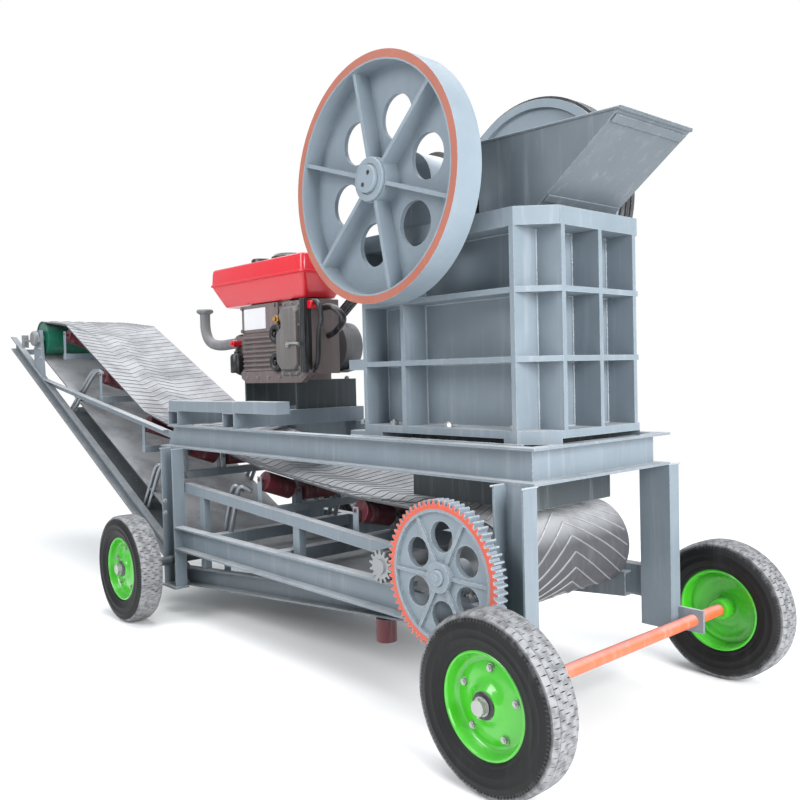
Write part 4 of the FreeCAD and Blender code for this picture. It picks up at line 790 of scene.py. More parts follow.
class CRUSHER_OT_rims(CrusherPiece, bpy.types.Operator):
    """Build the pressed wheel discs, their nuts, seals and the axle ends"""
    bl_idname = "crusher.rims"
    bl_label = "Wheel discs"
    # outer face from the rim to the hub, then the back: radius and place across
    profile = ((0.1650, 0.0490), (0.1620, 0.0520), (0.1570, 0.0520), (0.1545, 0.0490),
               (0.1520, 0.0400), (0.1490, 0.0240), (0.1430, 0.0130), (0.1340, 0.0095),
               (0.1240, 0.0120), (0.1120, 0.0165), (0.0980, 0.0200), (0.0840, 0.0225),
               (0.0720, 0.0255), (0.0620, 0.0305), (0.0540, 0.0375), (0.0480, 0.0430),
               (0.0430, 0.0450), (0.0245, 0.0450),
               (0.0245, -0.0450), (0.0400, -0.0450), (0.0430, -0.0400), (0.0450, 0.0160),
               (0.0600, 0.0200), (0.0800, 0.0145), (0.1030, 0.0110), (0.1150, 0.0080),
               (0.1300, 0.0020), (0.1450, 0.0050), (0.1480, -0.0300), (0.1530, -0.0480),
               (0.1570, -0.0520), (0.1620, -0.0520), (0.1650, -0.0490), (0.1590, -0.0360),
               (0.1560, 0.0000), (0.1590, 0.0360))
    seal_profile = ((0.0255, 0.043), (0.0425, 0.043), (0.0425, 0.0490), (0.0390, 0.0515),
                    (0.0255, 0.0515))
    end_foot, end_face = 0.7535, 0.7758
    nut_foot, nut_size, nut_shift = 0.0160, 0.66, 0.2
    pin_half = 0.031

    def make(self):
        for label, centre, side in wheel_places():
            body = f"wheel_{label}"
            out = ACROSS * side
            disc = Solid()
            disc.lathe(self.profile, centre, out, sides=96)
            show(f"wheel_disc_{label}", disc, "green_paint", body=body, smooth=50,
                 replaces=(f"rim_{label}",))
            seal = Solid()
            seal.lathe(self.seal_profile, centre, out, sides=48)
            show(f"wheel_seal_{label}", seal, "black_enamel", body)
            nuts(f"wheel_nuts_{label}",
                 [(centre + out * self.nut_foot + spoke(angle) * sizes().rim_nut_circle, out,
                   self.nut_size) for angle in turns(sizes().rim_nuts, self.nut_shift)], body)
            self.axle_end(label, Vector((centre.x, side * self.end_foot, centre.z)), out)

    def axle_end(self, label, base, out):
        end = Solid()
        end.rod(base, base + out * 0.004, 0.0300, 32)
        end.hexagon(base + out * 0.003, out, 0.0270, 0.0145)
        end.rod(base + out * 0.006, base + out * (self.end_face - self.end_foot), 0.0240)
        pin = base + out * 0.0185
        end.rod(pin - UP * self.pin_half, pin + UP * self.pin_half, 0.0025, 8)
        show(f"axle_end_{label}", end, "zinc_nut", smooth=30)


class CRUSHER_OT_hubs(CrusherPiece, bpy.types.Operator):
    """Add the hub caps and grease covers of the flywheels and the gear"""
    bl_idname = "crusher.hubs"
    bl_label = "Hubs"
    ring_profile = ((0.0560, 0.0), (0.0800, 0.0), (0.0820, 0.004), (0.0820, 0.010),
                    (0.0790, 0.013), (0.0570, 0.013))
    cap_profile = ((0, 0.010), (0.050, 0.010), (0.052, 0.012), (0.052, 0.024), (0.049, 0.027),
                   (0, 0.027))
    gear_profile = ((0.030, 0.0), (0.052, 0.0), (0.054, 0.003), (0.054, 0.008), (0.030, 0.008))
    gear_face = 0.545
    hole_circle, hole_radius, hole_turn = 0.026, 0.009, 0.9

    def make(self):
        for side, label in SIDES:
            out = ACROSS * side
            face = Vector((SHAFT[0], side * (WHEEL_FACE - 0.008), SHAFT[1]))
            cap = Solid()
            cap.lathe(self.ring_profile, face, out, 64)
            if side == NEAR:
                cap.lathe(self.cap_profile, face, out, 48)
            show(f"flywheel_hub_{label}", cap, f"flywheel_lit_paint_{label}",
                 "crusher_rotor")
        # Black discs on the near cap: painted shade standing for its two holes.
        dark = Solid()
        cap_face = Vector((SHAFT[0], -WHEEL_FACE - 0.0185, SHAFT[1]))
        for angle in (self.hole_turn, self.hole_turn + math.pi):
            spot = cap_face + spoke(angle) * self.hole_circle
            dark.rod(spot, spot - ACROSS * 0.0012, self.hole_radius)
        show("flywheel_cap_holes", dark, "black_enamel", "crusher_rotor")
        gear = Solid()
        face = Vector((TAIL[0], -self.gear_face, TAIL[1]))
        gear.lathe(self.gear_profile, face, -ACROSS, 48)
        gear.rod(face + ACROSS * 0.004, face - ACROSS * 0.018, 0.028, 32)
        gear.rod(face - ACROSS * 0.018, face - ACROSS * 0.024, 0.011)
        show("gear_hub", gear, "gear_lit_paint", "tail_rotor")


class CRUSHER_OT_welds(CrusherPiece, bpy.types.Operator):
    """Lay weld beads along the crusher's shelves and the frame's joints"""
    bl_idname = "crusher.welds"
    bl_label = "Welds"
    shelves = (1.068, 1.306, 1.326, 1.546, 1.566, 1.774)
    uprights = (2.3755, 1.8055, 1.5685)
    upright_thick = 0.020
    upright_span = (1.070, 1.768)
    front_uprights = (-0.2135, 0.0, 0.2135)
    side_wall, wall_rear, wall_front = 0.2245, 1.4600, 2.3665
    leg_edges = (2.3720, 2.5070, -0.0870, 0.0480)

    def make(self):
        lines = []
        low, high = self.upright_span
        for side, _ in SIDES:
            wall = side * self.side_wall
            lines += [((self.wall_rear, wall, z), (self.wall_front, wall, z))
                      for z in self.shelves]
            lines += [((edge, wall, low), (edge, wall, high)) for x in self.uprights
                      for edge in (x, x - self.upright_thick)]
        front, wide = self.wall_front + 0.001, self.side_wall - 0.001
        lines += [((front, -wide, z), (front, wide, z)) for z in self.shelves]
        lines += [((front, edge, low), (front, edge, high)) for y in self.front_uprights
                  for edge in centred(y, self.upright_thick / 2)]
        beads("crusher_welds", lines)
        lines = []
        for side, _ in SIDES:
            lines += [((x, side * 0.4030, 0.8930), (x, side * 0.4800, 0.8930))
                      for x in self.leg_edges]
            lines += [((1.4520, side * 0.345, FRAME_TOP), (2.4000, side * 0.345, FRAME_TOP)),
                      ((2.1100, side * 0.2200, 1.8385), (2.3600, side * 0.2200, 1.8385))]
        beads("frame_welds", lines, size=0.8)


class CRUSHER_OT_bolts(CrusherPiece, bpy.types.Operator):
    """Fit the bolts of the bearings, legs, engine bed and head plates"""
    bl_idname = "crusher.bolts"
    bl_label = "Bolts"

    def make(self):
        rows = []
        for side, _ in SIDES:
            out = ACROSS * side
            # shaft bearings, drum bearings, rear legs, head plates, crusher feet
            rows += [(Vector((SHAFT[0] + x, side * y, 1.8830)), UP, 1.25)
                     for x in (-0.152, 0.152) for y in (0.225, 0.295)]
            rows += [(Vector((x + shift, side * 0.4565, 0.4900)), UP, 0.72)
                     for x in (TAIL[0], 1.8617) for shift in (-0.058, 0.058)]
            rows += [(Vector((-0.030, side * 0.4830, z)), out, 0.62) for z in (0.610, 0.545)]
            rows += [(Vector((x + (1.52 - z) * 0.2, side * 0.3870, z)), out, 0.6)
                     for x in (-2.3235, -2.2235) for z in (1.455, 1.520)]
            rows += [(Vector((x, side * 0.3050, 1.0680)), UP, 0.95)
                     for x in (1.500, 1.690, 2.000, 2.330)]
        rows += [(Vector((x, y, 1.2530)), UP, 0.7) for x in (0.090, 0.540)
                 for y in (0.020, 0.350)]
        nuts("machine_bolts", rows)


class CRUSHER_OT_hopper(CrusherPiece, bpy.types.Operator):
    """Add the hopper's rolled lip and its stiffening strips"""
    bl_idname = "crusher.hopper"
    bl_label = "Hopper trim"
    half, rim, back, tip = 0.2200, 2.1160, 2.1045, 2.7285
    slope = Vector((0.367, 0, 0.277)).normalized()
    slope_foot = Vector((2.3615, 0, 1.8380))
    strap_half = 0.212

    def make(self):
        trim = Solid()
        for side, _ in SIDES:
            y = side * self.half
            trim.tube([(self.back, y, self.rim + 0.012), (self.tip - 0.006, y, self.rim - 0.006)],
                      0.0055, 10, 0)
        front = (self.tip - 0.007, self.rim - 0.0065)
        trim.tube([(front[0], y, front[1]) for y in (-self.half, self.half)], 0.0060, 10, 0)
        show("hopper_lip", trim, "hopper_shaded_paint")
        strap = Solid()
        down = Vector((self.slope.z, 0, -self.slope.x))
        for along in (0.05, 0.40):
            ring = [self.slope_foot + self.slope * (along + a) + down * b
                    for a, b in rectangle((0, 0.030), (0, 0.006))]
            strap.hull_of(*([p + ACROSS * y for p in ring]
                            for y in (-self.strap_half, self.strap_half)))
        show("hopper_straps", strap, "hopper_shaded_paint", bevel=0.0015)


def tangent(centre, radius, far, upper):
    """Where a straight run from a far point meets a circle, as an angle from +X."""
    gap = Vector((far[0] - centre[0], far[1] - centre[1]))
    lean = math.acos(radius / gap.length)
    base = math.atan2(gap.y, gap.x)
    return (max if upper else min)((base + lean, base - lean), key=math.sin)


def arc(centre, radius, start, end, steps=16):
    """Points of a drum's skin between two angles, with no trough."""
    angles = [start + (end - start) * k / steps for k in range(steps + 1)]
    return [(centre[0] + radius * math.cos(a), centre[1] + radius * math.sin(a), 0.0)
            for a in angles]


def belt_path():
    """Points of the belt's outer side all round, with its trough: (x, z, lift)."""
    tail = [tangent(TAIL, TAIL_OUTER, SAG, False), tangent(TAIL, TAIL_OUTER, STATIONS[0], True)]
    head = [tangent(HEAD, HEAD_OUTER, STATIONS[-1], True),
            tangent(HEAD, HEAD_OUTER, SAG, False) % (2 * math.pi)]
    points = arc(TAIL, TAIL_OUTER, *tail)
    return [*points, *((x, z, math.tan(math.radians(angle))) for x, z, angle in STATIONS),
            *arc(HEAD, HEAD_OUTER, *head), (*SAG, 0.0), points[0]]


class PathLine:
    """The belt's outer side as a line that can be asked for any distance along it."""

    def __init__(self, points):
        self.runs = []
        self.total = 0.0
        for (x0, z0, l0), (x1, z1, l1) in zip(points, points[1:]):
            run = Vector((x1 - x0, 0, z1 - z0))
            if run.length > SMALL:
                self.runs.append((self.total, run.length, Vector((x0, 0, z0)), run, l0, l1))
                self.total += run.length

    def at(self, distance, y):
        """The point of the belt's skin at a distance along it and a place across it."""
        distance %= self.total
        start, long, foot, run, l0, l1 = [r for r in self.runs if r[0] <= distance][-1]
        part = (distance - start) / long
        rise = (l0 + (l1 - l0) * part) * max(0.0, abs(y) - TROUGH_FLAT)
        return foot + run * part + Vector((0, y, rise))


class CRUSHER_OT_belt(CrusherPiece, bpy.types.Operator):
    """Raise the chevron ribs all round the conveyor belt"""
    bl_idname = "crusher.belt"
    bl_label = "Belt ribs"
    lean = 0.62
    stops = (0.004, 0.042, 0.079, 0.115, 0.158, 0.201, 0.244, 0.287, 0.330)
    probe = 0.01
    bar_long, bar_foot, bar_top = 0.036, 0.0042, 0.0026

    def make(self):
        line = PathLine(belt_path())
        total = round(line.total / sizes().chevron_step)
        spots, axes, ways = [], [], []
        for k in range(total):
            start = line.total * k / total
            for side, _ in SIDES:
                for first, second in zip(self.stops, self.stops[1:]):
                    foot, end, middle = (line.at(start - self.lean * y, side * y)
                                         for y in (first, second, (first + second) / 2))
                    way = (end - foot).normalized()
                    back = line.at(start - self.lean * first - self.probe, side * first) - foot
                    spots.append(middle)
                    axes.append((back.cross(way) * side).normalized())
                    ways.append(way)
        rib = self.rib()
        # The ribs take the lighter rubber: painted light on the ribs.
        grow("belt_chevrons", spots, TREES["repeat"], {"Shape": rib}, "belt_rib_lit_rubber",
             "black_rubber", axis=axes, along=ways)
        bpy.data.objects.remove(rib)

    def rib(self):
        """One short bar of a chevron, lying along X."""
        long = centred(0, self.bar_long * math.hypot(1, self.lean) / 2 + 0.0045)
        solid = Solid()
        solid.plate(rectangle(long, centred(0, self.bar_foot)), (-0.004, sizes().chevron_high),
                    rectangle(long, centred(0, self.bar_top)))
        return solid.shape("belt_rib")


class CRUSHER_OT_hoops(CrusherPiece, bpy.types.Operator):
    """Build the idler sets: cross bars, roller plates and the bent bars beside the belt"""
    bl_idname = "crusher.hoops"
    bl_label = "Idler sets"
    # foot x, foot z, top x and top z of each pair of bent bars
    places = ((-1.733, 1.076, -1.311, 1.353), (-0.585, 0.508, -0.399, 0.780),
              (0.381, 0.470, 0.478, 0.728))
    hoop_y, hoop_apart = 0.3390, 0.030
    bar_below, bar_deep, bar_wide, bar_reach = 0.064, 0.040, 0.022, 0.351
    plate_wide, plate_half, plate_over = 0.018, 0.003, 0.016
    roller_middle, roller_half, wing_start = 0.112, 0.107, 0.117

    def make(self):
        hoops = Solid()
        bars = Solid()
        for index, (x, z, angle) in enumerate(STATIONS):
            self.cross_bar(bars, x, z, math.radians(angle), self.under(index))
        for foot_x, foot_z, top_x, top_z in self.places:
            lean = Vector((top_x - foot_x, 0, top_z - foot_z))
            for side, _ in SIDES:
                for shift in (-self.hoop_apart, self.hoop_apart):
                    foot = Vector((foot_x + shift, side * self.hoop_y, foot_z))
                    hoops.tube([foot, foot + lean * 0.55, foot + lean * 0.90,
                                foot + lean + Vector((0.016, -side * 0.008, -0.004)),
                                foot + lean + Vector((0.050, -side * 0.040, -0.036))],
                               sizes().hoop_radius)
        show("idler_hoops", hoops, "galvanised_bar", smooth=60)
        show("idler_cross_bars", bars, "grey_paint", bevel=0.002, replaces=("idler_brackets",))

    def under(self, index):
        """Depth of a roller's axis below the belt's top, where the belt slopes."""
        stops = [(TAIL[0], TAIL[1] + TAIL_OUTER), *((x, z) for x, z, _ in STATIONS),
                 (HEAD[0], HEAD[1] + HEAD_OUTER)]
        slopes = [abs((stops[k + 1][1] - stops[k][1]) / (stops[k + 1][0] - stops[k][0]))
                  for k in (index, index + 1)]
        return 0.0106 + 0.050 * math.hypot(1, max(slopes))

    def cross_bar(self, bars, x, z, lean, under):
        top = z - under - self.bar_below
        bars.box(centred(x, self.bar_wide), (-self.bar_reach, self.bar_reach),
                 (top - self.bar_deep, top))
        along = Vector((math.cos(lean), math.sin(lean)))
        middle = (Vector((self.wing_start, z)) + self.roller_middle * along
                  + under * Vector((along.y, -along.x)))
        plates = [(self.roller_half, z - under)]
        plates += [tuple(middle + along * reach) for reach in centred(0, self.roller_half)]
        for side, _ in SIDES:
            for y, height in plates:
                bars.box(centred(x, self.plate_wide), mirrored(side, *centred(y, self.plate_half)),
                         (top - 0.002, height + self.plate_over))


class CRUSHER_OT_engine(CrusherPiece, bpy.types.Operator):
    """Build the engine's covers, fittings, head and exhaust"""
    bl_idname = "crusher.engine"
    bl_label = "Engine"
    face = -0.015
    fins = 8
    fin_foot, fin_step = 1.312, 0.026
    # outlines seen from the near side: x, z
    sump = ((0.062, 1.268), (0.120, 1.240), (0.655, 1.240), (0.728, 1.290), (0.728, 1.305),
            (0.062, 1.305))
    gear_case = ((0.448, 1.330), (0.500, 1.278), (0.640, 1.278), (0.672, 1.312),
                 (0.672, 1.640), (0.648, 1.668), (0.520, 1.668), (0.480, 1.625),
                 (0.505, 1.585), (0.505, 1.545), (0.460, 1.520), (0.448, 1.500))
    gear_case_middle = Vector((0.570, 1.460))
    case_bolts = ((0.462, 1.335), (0.502, 1.291), (0.570, 1.288), (0.634, 1.291),
                  (0.660, 1.320), (0.660, 1.430), (0.660, 1.540), (0.658, 1.640),
                  (0.600, 1.656), (0.528, 1.656))
    sump_bolts = (0.13, 0.24, 0.35, 0.46, 0.57, 0.66)
    cap_profile = ((0.026, 0.0), (0.050, 0.0), (0.052, 0.004), (0.052, 0.040), (0.048, 0.044),
                   (0.030, 0.044), (0.026, 0.040))
    mouth = (-0.430, 0.010)
    flange_profile = ((0.0270, 0.0), (0.0360, 0.0), (0.0500, 0.010), (0.0510, 0.022),
                      (0.0460, 0.028), (0.0270, 0.028))
    # points, then radius, of each bent pipe
    bends = (((0.740, -0.010, 1.655), (0.800, -0.020, 1.650), (0.812, -0.010, 1.560),
              (0.770, -0.004, 1.500), (0.765, -0.004, 1.340), (0.715, 0.004, 1.310), 0.014),
             ((0.720, 0.040, 1.620), (0.850, 0.030, 1.630), (0.905, 0.070, 1.560),
              (0.800, 0.090, 1.500), (0.715, 0.090, 1.480), 0.017),
             ((-0.020, -0.006, 1.455), (-0.026, -0.030, 1.380), (-0.040, -0.020, 1.310),
              (0.030, -0.010, 1.290), 0.010))

    def make(self):
        for part in (self.case, self.cover, self.fittings, self.head, self.exhaust, self.pipes):
            part(self.face)

    def case(self, y):
        case = Solid()
        for k in range(self.fins):
            z = self.fin_foot + k * self.fin_step
            case.slab(rectangle((0.064, 0.428), centred(z, 0.008)), (y + 0.002, y - 0.016),
                      rectangle((0.070, 0.420), centred(z, 0.004)))
        case.slab(self.sump, (y - 0.024, y + 0.012))
        case.slab(rectangle((0.062, 0.430), (1.524, 1.676)), (y - 0.010, y + 0.004))
        for x in (0.074, 0.405):
            for z in (1.535, 1.664):
                case.rod((x, y - 0.008, z), (x, y - 0.022, z), 0.011)
        case.plate([(0.570, y), (0.728, y), (0.728, 0.160), (0.570, 0.190)], (1.285, 1.672))
        show("engine_side_ribs", case, "engine_casting", bevel=0.002)
        plate = Solid()
        plate.box((0.090, 0.312), (y - 0.0130, y - 0.009), (1.540, 1.657))
        show("engine_blank_plate", plate, "name_plate", bevel=0.0008)

    def cover(self, y):
        def shrunk(outline, factor):
            return [tuple(self.gear_case_middle + (Vector(p) - self.gear_case_middle) * factor)
                    for p in outline]

        cover = Solid()
        inner = shrunk(self.gear_case, 0.88)
        cover.slab(self.gear_case, (y + 0.004, y - 0.030))
        cover.slab(inner, (y - 0.028, y - 0.052), shrunk(inner, 0.94))
        show("engine_gear_case", cover, "cover_casting", bevel=0.004,
             replaces=("engine_gear_cover",))

    def fittings(self, y):
        caps = Solid()
        for z in (1.503, 1.352):
            caps.lathe(self.cap_profile, (0.446, y - 0.004, z), -ACROSS, 40)
            caps.rod((0.446, y, z), (0.446, y - 0.030, z), 0.027, 28)
            caps.rod((0.446, y, z), (0.446, y - 0.050, z), 0.010)
        caps.slab(rectangle((0.684, 0.726), (1.292, 1.672)), (y - 0.046, y + 0.010))
        show("engine_caps", caps, "black_enamel", bevel=0.001)
        brass = Solid()
        brass.rod((0.452, y, 1.583), (0.452, y - 0.040, 1.583), 0.021, 24)
        brass.hexagon((0.452, y - 0.040, 1.583), -ACROSS, 0.014, 0.012)
        show("engine_oil_knob", brass, "brass", bevel=0.001)
        lever = Solid()
        lever.rod((0.590, y - 0.050, 1.440), (0.590, y - 0.066, 1.440), 0.015)
        lever.tube([(0.590, y - 0.062, 1.440), (0.640, y - 0.064, 1.447),
                    (0.700, y - 0.064, 1.440)], 0.008, 10, 2)
        show("engine_lever", lever, "zinc_nut")
        nuts("engine_cover_bolts",
             [(Vector((x, y - 0.030, z)), -ACROSS, 0.45) for x, z in self.case_bolts]
             + [(Vector((x, y - 0.024, 1.272)), -ACROSS, 0.42) for x in self.sump_bolts])

    def head(self, _):
        head = Solid()
        head.stack([rounded((x, 0.100, 1.413), (0.070 + swell, 0.085 + swell), 0.024, "X")
                    for x, swell in ((-0.064, 0.0), (-0.072, -0.003), (-0.120, -0.010),
                                     (-0.132, -0.020))])
        for z in (1.345, 1.385, 1.425, 1.465):
            head.box((-0.050, 0.046), (0.010, 0.190), centred(z, 0.004))
        show("rocker_cover", head, "engine_casting", bevel=0.002)
        nuts("head_studs", [(Vector((-0.064, y, z)), REARWARD, 0.75)
                            for y in (0.026, 0.174) for z in (1.328, 1.498)])
        red = Solid()
        red.rod((-0.030, 0.015, 1.470), (-0.030, -0.040, 1.470), 0.019, 24)
        red.rod((-0.030, -0.036, 1.470), (-0.030, -0.050, 1.470), 0.010)
        red.rod((0.740, 0.020, 1.640), (0.740, -0.040, 1.640), 0.022, 24)
        red.tube([(-0.030, 0.000, 1.470), (-0.045, -0.004, 1.430), (-0.050, 0.004, 1.390)],
                 0.009, 12, 2)
        show("engine_red_fittings", red, "red_paint", bevel=0.001)

    def exhaust(self, _):
        pipe = Solid()
        pipe.tube([(-0.066, 0.060, 1.478), (-0.150, 0.055, 1.478), (-0.290, 0.030, 1.466),
                   (-0.390, 0.015, 1.490), (*self.mouth, 1.565), (*self.mouth, 1.640),
                   (*self.mouth, 1.684)], 0.031, 28)
        for x in (-0.068, -0.082):
            pipe.lathe([(0, 0), (0.050, 0), (0.050, 0.011), (0, 0.011)], (x, 0.060, 1.478),
                       REARWARD, 32)
        pipe.lathe(self.flange_profile, (*self.mouth, 1.668), UP, 36)
        show("exhaust_pipe", pipe, "grey_cast_iron", smooth=50, replaces=("exhaust_elbow",))
        # A black disc at the pipe's mouth: soot and the painted shade of the bore.
        soot_and_bore_shade = Solid()
        soot_and_bore_shade.rod((*self.mouth, 1.6830), (*self.mouth, 1.6860), 0.0275, 28)
        show("exhaust_bore", soot_and_bore_shade, "black_enamel")

    def pipes(self, _):
        pipes = Solid()
        for *points, radius in self.bends:
            pipes.tube(points, radius)
        show("engine_pipes", pipes, "black_enamel", smooth=60)
        filters = Solid()
        filters.lathe([(0, 0.0), (0.034, 0.0), (0.038, 0.005), (0.038, 0.095), (0.028, 0.110),
                       (0, 0.110)], (0.002, -0.030, 1.300), UP, 36)
        filters.rod((0.002, -0.030, 1.405), (0.002, -0.030, 1.425), 0.016)
        show("engine_filter", filters, "black_enamel", smooth=40)


def rounded(centre, half, corner, facing):
    """A rounded rectangle of points square to an axis."""
    points = []
    for sign_a, sign_b, start in ((1, 1, 0), (-1, 1, 90), (-1, -1, 180), (1, -1, 270)):
        for step in range(7):
            turn = math.radians(start + 15 * step)
            a = sign_a * (half[0] - corner) + corner * math.cos(turn)
            b = sign_b * (half[1] - corner) + corner * math.sin(turn)
            points.append(Vector(centre) + Vector((0, a, b) if facing == "X" else (a, b, 0)))
    return points


class CRUSHER_OT_tank(CrusherPiece, bpy.types.Operator):
    """Press the fuel tank with its seam, panels and cap"""
    bl_idname = "crusher.tank"
    bl_label = "Fuel tank"
    x_span, y_span, corner = (-0.214, 0.736), (-0.075, 0.255), 0.026
    # height and inset of each level of the tank
    levels = ((1.6830, 0.074), (1.6860, 0.064), (1.7000, 0.057), (1.7900, 0.0140),
              (1.8040, 0.0095), (1.8075, 0.0015), (1.8130, 0.0), (1.8185, 0.0015),
              (1.8215, 0.0065), (1.8800, 0.0095), (1.9000, 0.0130), (1.9060, 0.0190),
              (1.9080, 0.0300))
    cap_profile = ((0, 0.0), (0.052, 0.0), (0.056, 0.004), (0.056, 0.026), (0.050, 0.034),
                   (0.018, 0.038), (0, 0.038))
    cleaner_profile = ((0, 0.0), (0.095, 0.0), (0.102, 0.006), (0.100, 0.030), (0.080, 0.046),
                       (0, 0.052))

    def make(self):
        tank = Solid()
        middle = [sum(span) / 2 for span in (self.x_span, self.y_span)]
        half = [(span[1] - span[0]) / 2 for span in (self.x_span, self.y_span)]
        tank.stack([rounded((*middle, z), [h - inset for h in half], self.corner, "Z")
                    for z, inset in self.levels])
        show("tank_shell", tank, "red_paint", smooth=34, replaces=("fuel_tank",))
        panels = Solid()
        panels.hull_of([(0.090, -0.058, 1.8260), (0.430, -0.058, 1.8260),
                        (0.430, -0.052, 1.8860), (0.090, -0.052, 1.8860)],
                       [(0.094, -0.0675, 1.8290), (0.426, -0.0675, 1.8290),
                        (0.426, -0.0635, 1.8830), (0.094, -0.0635, 1.8830)])
        panels.box((0.080, 0.330), (-0.020, 0.200), (1.9060, 1.9130))
        show("tank_panels", panels, "red_paint", bevel=0.002)
        cap = Solid()
        top = self.levels[-1][0]
        cap.lathe(self.cap_profile, (0.150, 0.060, top), UP, 40)
        cap.lathe(self.cleaner_profile, (0.330, 0.130, top), UP, 48)
        show("tank_cap", cap, "black_enamel", smooth=40)


class CRUSHER_OT_conveyor_end(CrusherPiece, bpy.types.Operator):
    """Add the take-up screws and bearing housings of the conveyor's head"""
    bl_idname = "crusher.conveyor_end"
    bl_label = "Conveyor ends"
    profile = ((0, 0.0), (0.052, 0.0), (0.055, 0.004), (0.055, 0.030), (0.046, 0.040),
               (0, 0.042))

    def make(self):
        housings = Solid()
        x, z = HEAD
        for side, _ in SIDES:
            housings.lathe(self.profile, (x, side * 0.3870, z), ACROSS * side, 36)
            housings.box(centred(x, 0.080), mirrored(side, 0.387, 0.410), (z - 0.030, z + 0.010))
            screw = Vector((x - 0.25, side * 0.4000, z - 0.012))
            housings.rod(screw, screw - REARWARD * 0.19, 0.009)
            housings.hexagon(screw - REARWARD * 0.02, -REARWARD, 0.018, 0.014)
            housings.box((x - 0.235, x - 0.215), mirrored(side, 0.380, 0.425),
                         (z - 0.060, z + 0.035))
        show("head_housings", housings, "grey_cast_iron", bevel=0.0015)


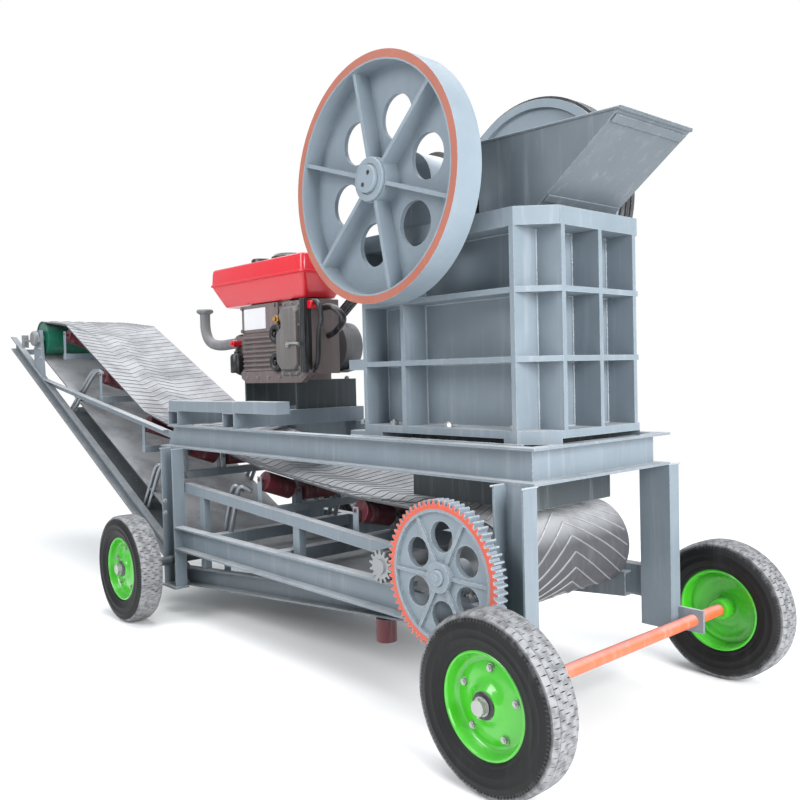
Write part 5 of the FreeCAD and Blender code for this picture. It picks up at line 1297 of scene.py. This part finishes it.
class CRUSHER_OT_stage(CrusherPiece, bpy.types.Operator):
    """Set the floor, the lights and the camera"""
    bl_idname = "crusher.stage"
    bl_label = "Stage"
    view_point = (4.2864, -2.5667, 1.2807)
    azimuth, pitch, roll = math.radians(48.54), -0.03268, -0.02442
    lens_length, sensor, clip_end = 38.05, 36.0, 100.0
    floor_half = 30.0
    fade_from, fade_to = 2.6, 5.5
    white = (1, 1, 1, 1)
    # name, place, aim, size and watts
    lamps = (("key_light", (0.6, -6.8, 5.6), (0.6, 0, 1.0), 4.0, 390),
             ("front_light", (8.0, -1.0, 3.0), (1.5, 0, 0.9), 3.6, 700),
             ("top_light", (0.9, 0.3, 8.0), (0.5, 0, 0), 5.0, 520),
             ("back_light", (-6.0, 5.5, 4.5), (0, 0, 1), 5.0, 200))

    def make(self):
        self.floor()
        self.world()
        for name, spot, aim, size, watts in self.lamps:
            light = bpy.data.lights.new(name, "AREA")
            light.size = size
            light.energy = watts
            lamp = link(name, light)
            lamp.location = spot
            lamp.rotation_euler = (Vector(aim) - Vector(spot)).to_track_quat("-Z", "Y").to_euler()
        self.camera()

    def mix(self, tree, amount, shader, glow, output):
        both = add(tree, "ShaderNodeMixShader", {0: amount, 1: shader.outputs[0],
                                                 2: glow.outputs[0]})
        tree.links.new(both.outputs[0], tree.nodes[output].inputs["Surface"])

    def floor(self):
        """A pale floor that goes white far off, where the camera sees it."""
        mesh = bpy.data.meshes.new("floor")
        span = (-self.floor_half, self.floor_half)
        mesh.from_pydata([(x, y, 0) for x, y in rectangle(span, span)], [], [(0, 1, 2, 3)])
        floor = link("floor", mesh)
        paint = bpy.data.materials.new("pale_floor")
        paint.use_nodes = True
        tree = paint.node_tree
        shader = tree.nodes["Principled BSDF"]
        shader.inputs["Base Color"].default_value = (0.86, 0.86, 0.86, 1)
        shader.inputs["Roughness"].default_value = 0.9
        place = add(tree, "ShaderNodeTexCoord").outputs["Object"]
        far = add(tree, "ShaderNodeMapRange",
                  {"Value": vector_maths(tree, "LENGTH", place), "From Min": self.fade_from,
                   "From Max": self.fade_to}).outputs[0]
        eye = add(tree, "ShaderNodeLightPath").outputs["Is Camera Ray"]
        glow = add(tree, "ShaderNodeEmission", {"Color": self.white, "Strength": 1.0})
        self.mix(tree, times(tree, eye, far), shader, glow, "Material Output")
        mesh.materials.append(paint)

    def world(self):
        """Soft light all round, behind a plain white backdrop."""
        world = bpy.context.scene.world = bpy.data.worlds.new("studio")
        world.use_nodes = True
        tree = world.node_tree
        sky = tree.nodes["Background"]
        sky.inputs["Color"].default_value = (0.90, 0.95, 1.0, 1)
        sky.inputs["Strength"].default_value = 0.62
        seen = add(tree, "ShaderNodeBackground", {"Color": self.white, "Strength": 1.0})
        eye = add(tree, "ShaderNodeLightPath").outputs["Is Camera Ray"]
        self.mix(tree, eye, sky, seen, "World Output")

    def camera(self):
        ahead = Vector((-math.sin(self.azimuth) * math.cos(self.pitch),
                        math.cos(self.azimuth) * math.cos(self.pitch), math.sin(self.pitch)))
        right = ahead.cross(UP).normalized()
        top = right.cross(ahead)
        lean_right = math.cos(self.roll) * right + math.sin(self.roll) * top
        lean_top = math.cos(self.roll) * top - math.sin(self.roll) * right
        lens = bpy.data.cameras.new("camera")
        lens.lens = self.lens_length
        lens.sensor_width = self.sensor
        lens.clip_end = self.clip_end
        eye = link("camera", lens)
        turned = Matrix((lean_right, lean_top, -ahead)).transposed().to_4x4()
        eye.matrix_world = Matrix.Translation(self.view_point) @ turned
        bpy.context.scene.camera = eye


OPERATORS = (CRUSHER_OT_finishes, CRUSHER_OT_tyres, CRUSHER_OT_rims, CRUSHER_OT_hubs,
             CRUSHER_OT_welds, CRUSHER_OT_bolts, CRUSHER_OT_hopper, CRUSHER_OT_belt,
             CRUSHER_OT_hoops, CRUSHER_OT_engine, CRUSHER_OT_tank, CRUSHER_OT_conveyor_end,
             CRUSHER_OT_stage)


class CRUSHER_PT_panel(bpy.types.Panel):
    """The crusher's sizes, colours and pieces"""
    bl_idname = "CRUSHER_PT_panel"
    bl_label = "Jaw crusher"
    bl_space_type = "VIEW_3D"
    bl_region_type = "UI"
    bl_category = "Crusher"

    def draw(self, context):
        for group in (context.scene.crusher_sizes, context.scene.crusher_colours):
            box = self.layout.box()
            for label in group.__annotations__:
                box.prop(group, label)
        for operator in OPERATORS:
            self.layout.operator(operator.bl_idname)


CLASSES = (CrusherSizes, CrusherColours, *OPERATORS, CRUSHER_PT_panel)


def register():
    for item in CLASSES:
        bpy.utils.register_class(item)
    bpy.types.Scene.crusher_sizes = bpy.props.PointerProperty(type=CrusherSizes)
    bpy.types.Scene.crusher_colours = bpy.props.PointerProperty(type=CrusherColours)


def unregister():
    del bpy.types.Scene.crusher_colours
    del bpy.types.Scene.crusher_sizes
    for item in reversed(CLASSES):
        bpy.utils.unregister_class(item)


def main():
    register()
    bpy.context.scene.view_settings.view_transform = "Standard"
    for operator in OPERATORS:
        name = operator.bl_idname.split(".")[1]
        getattr(bpy.ops.crusher, name)()


if __name__ == "__main__":
    main()
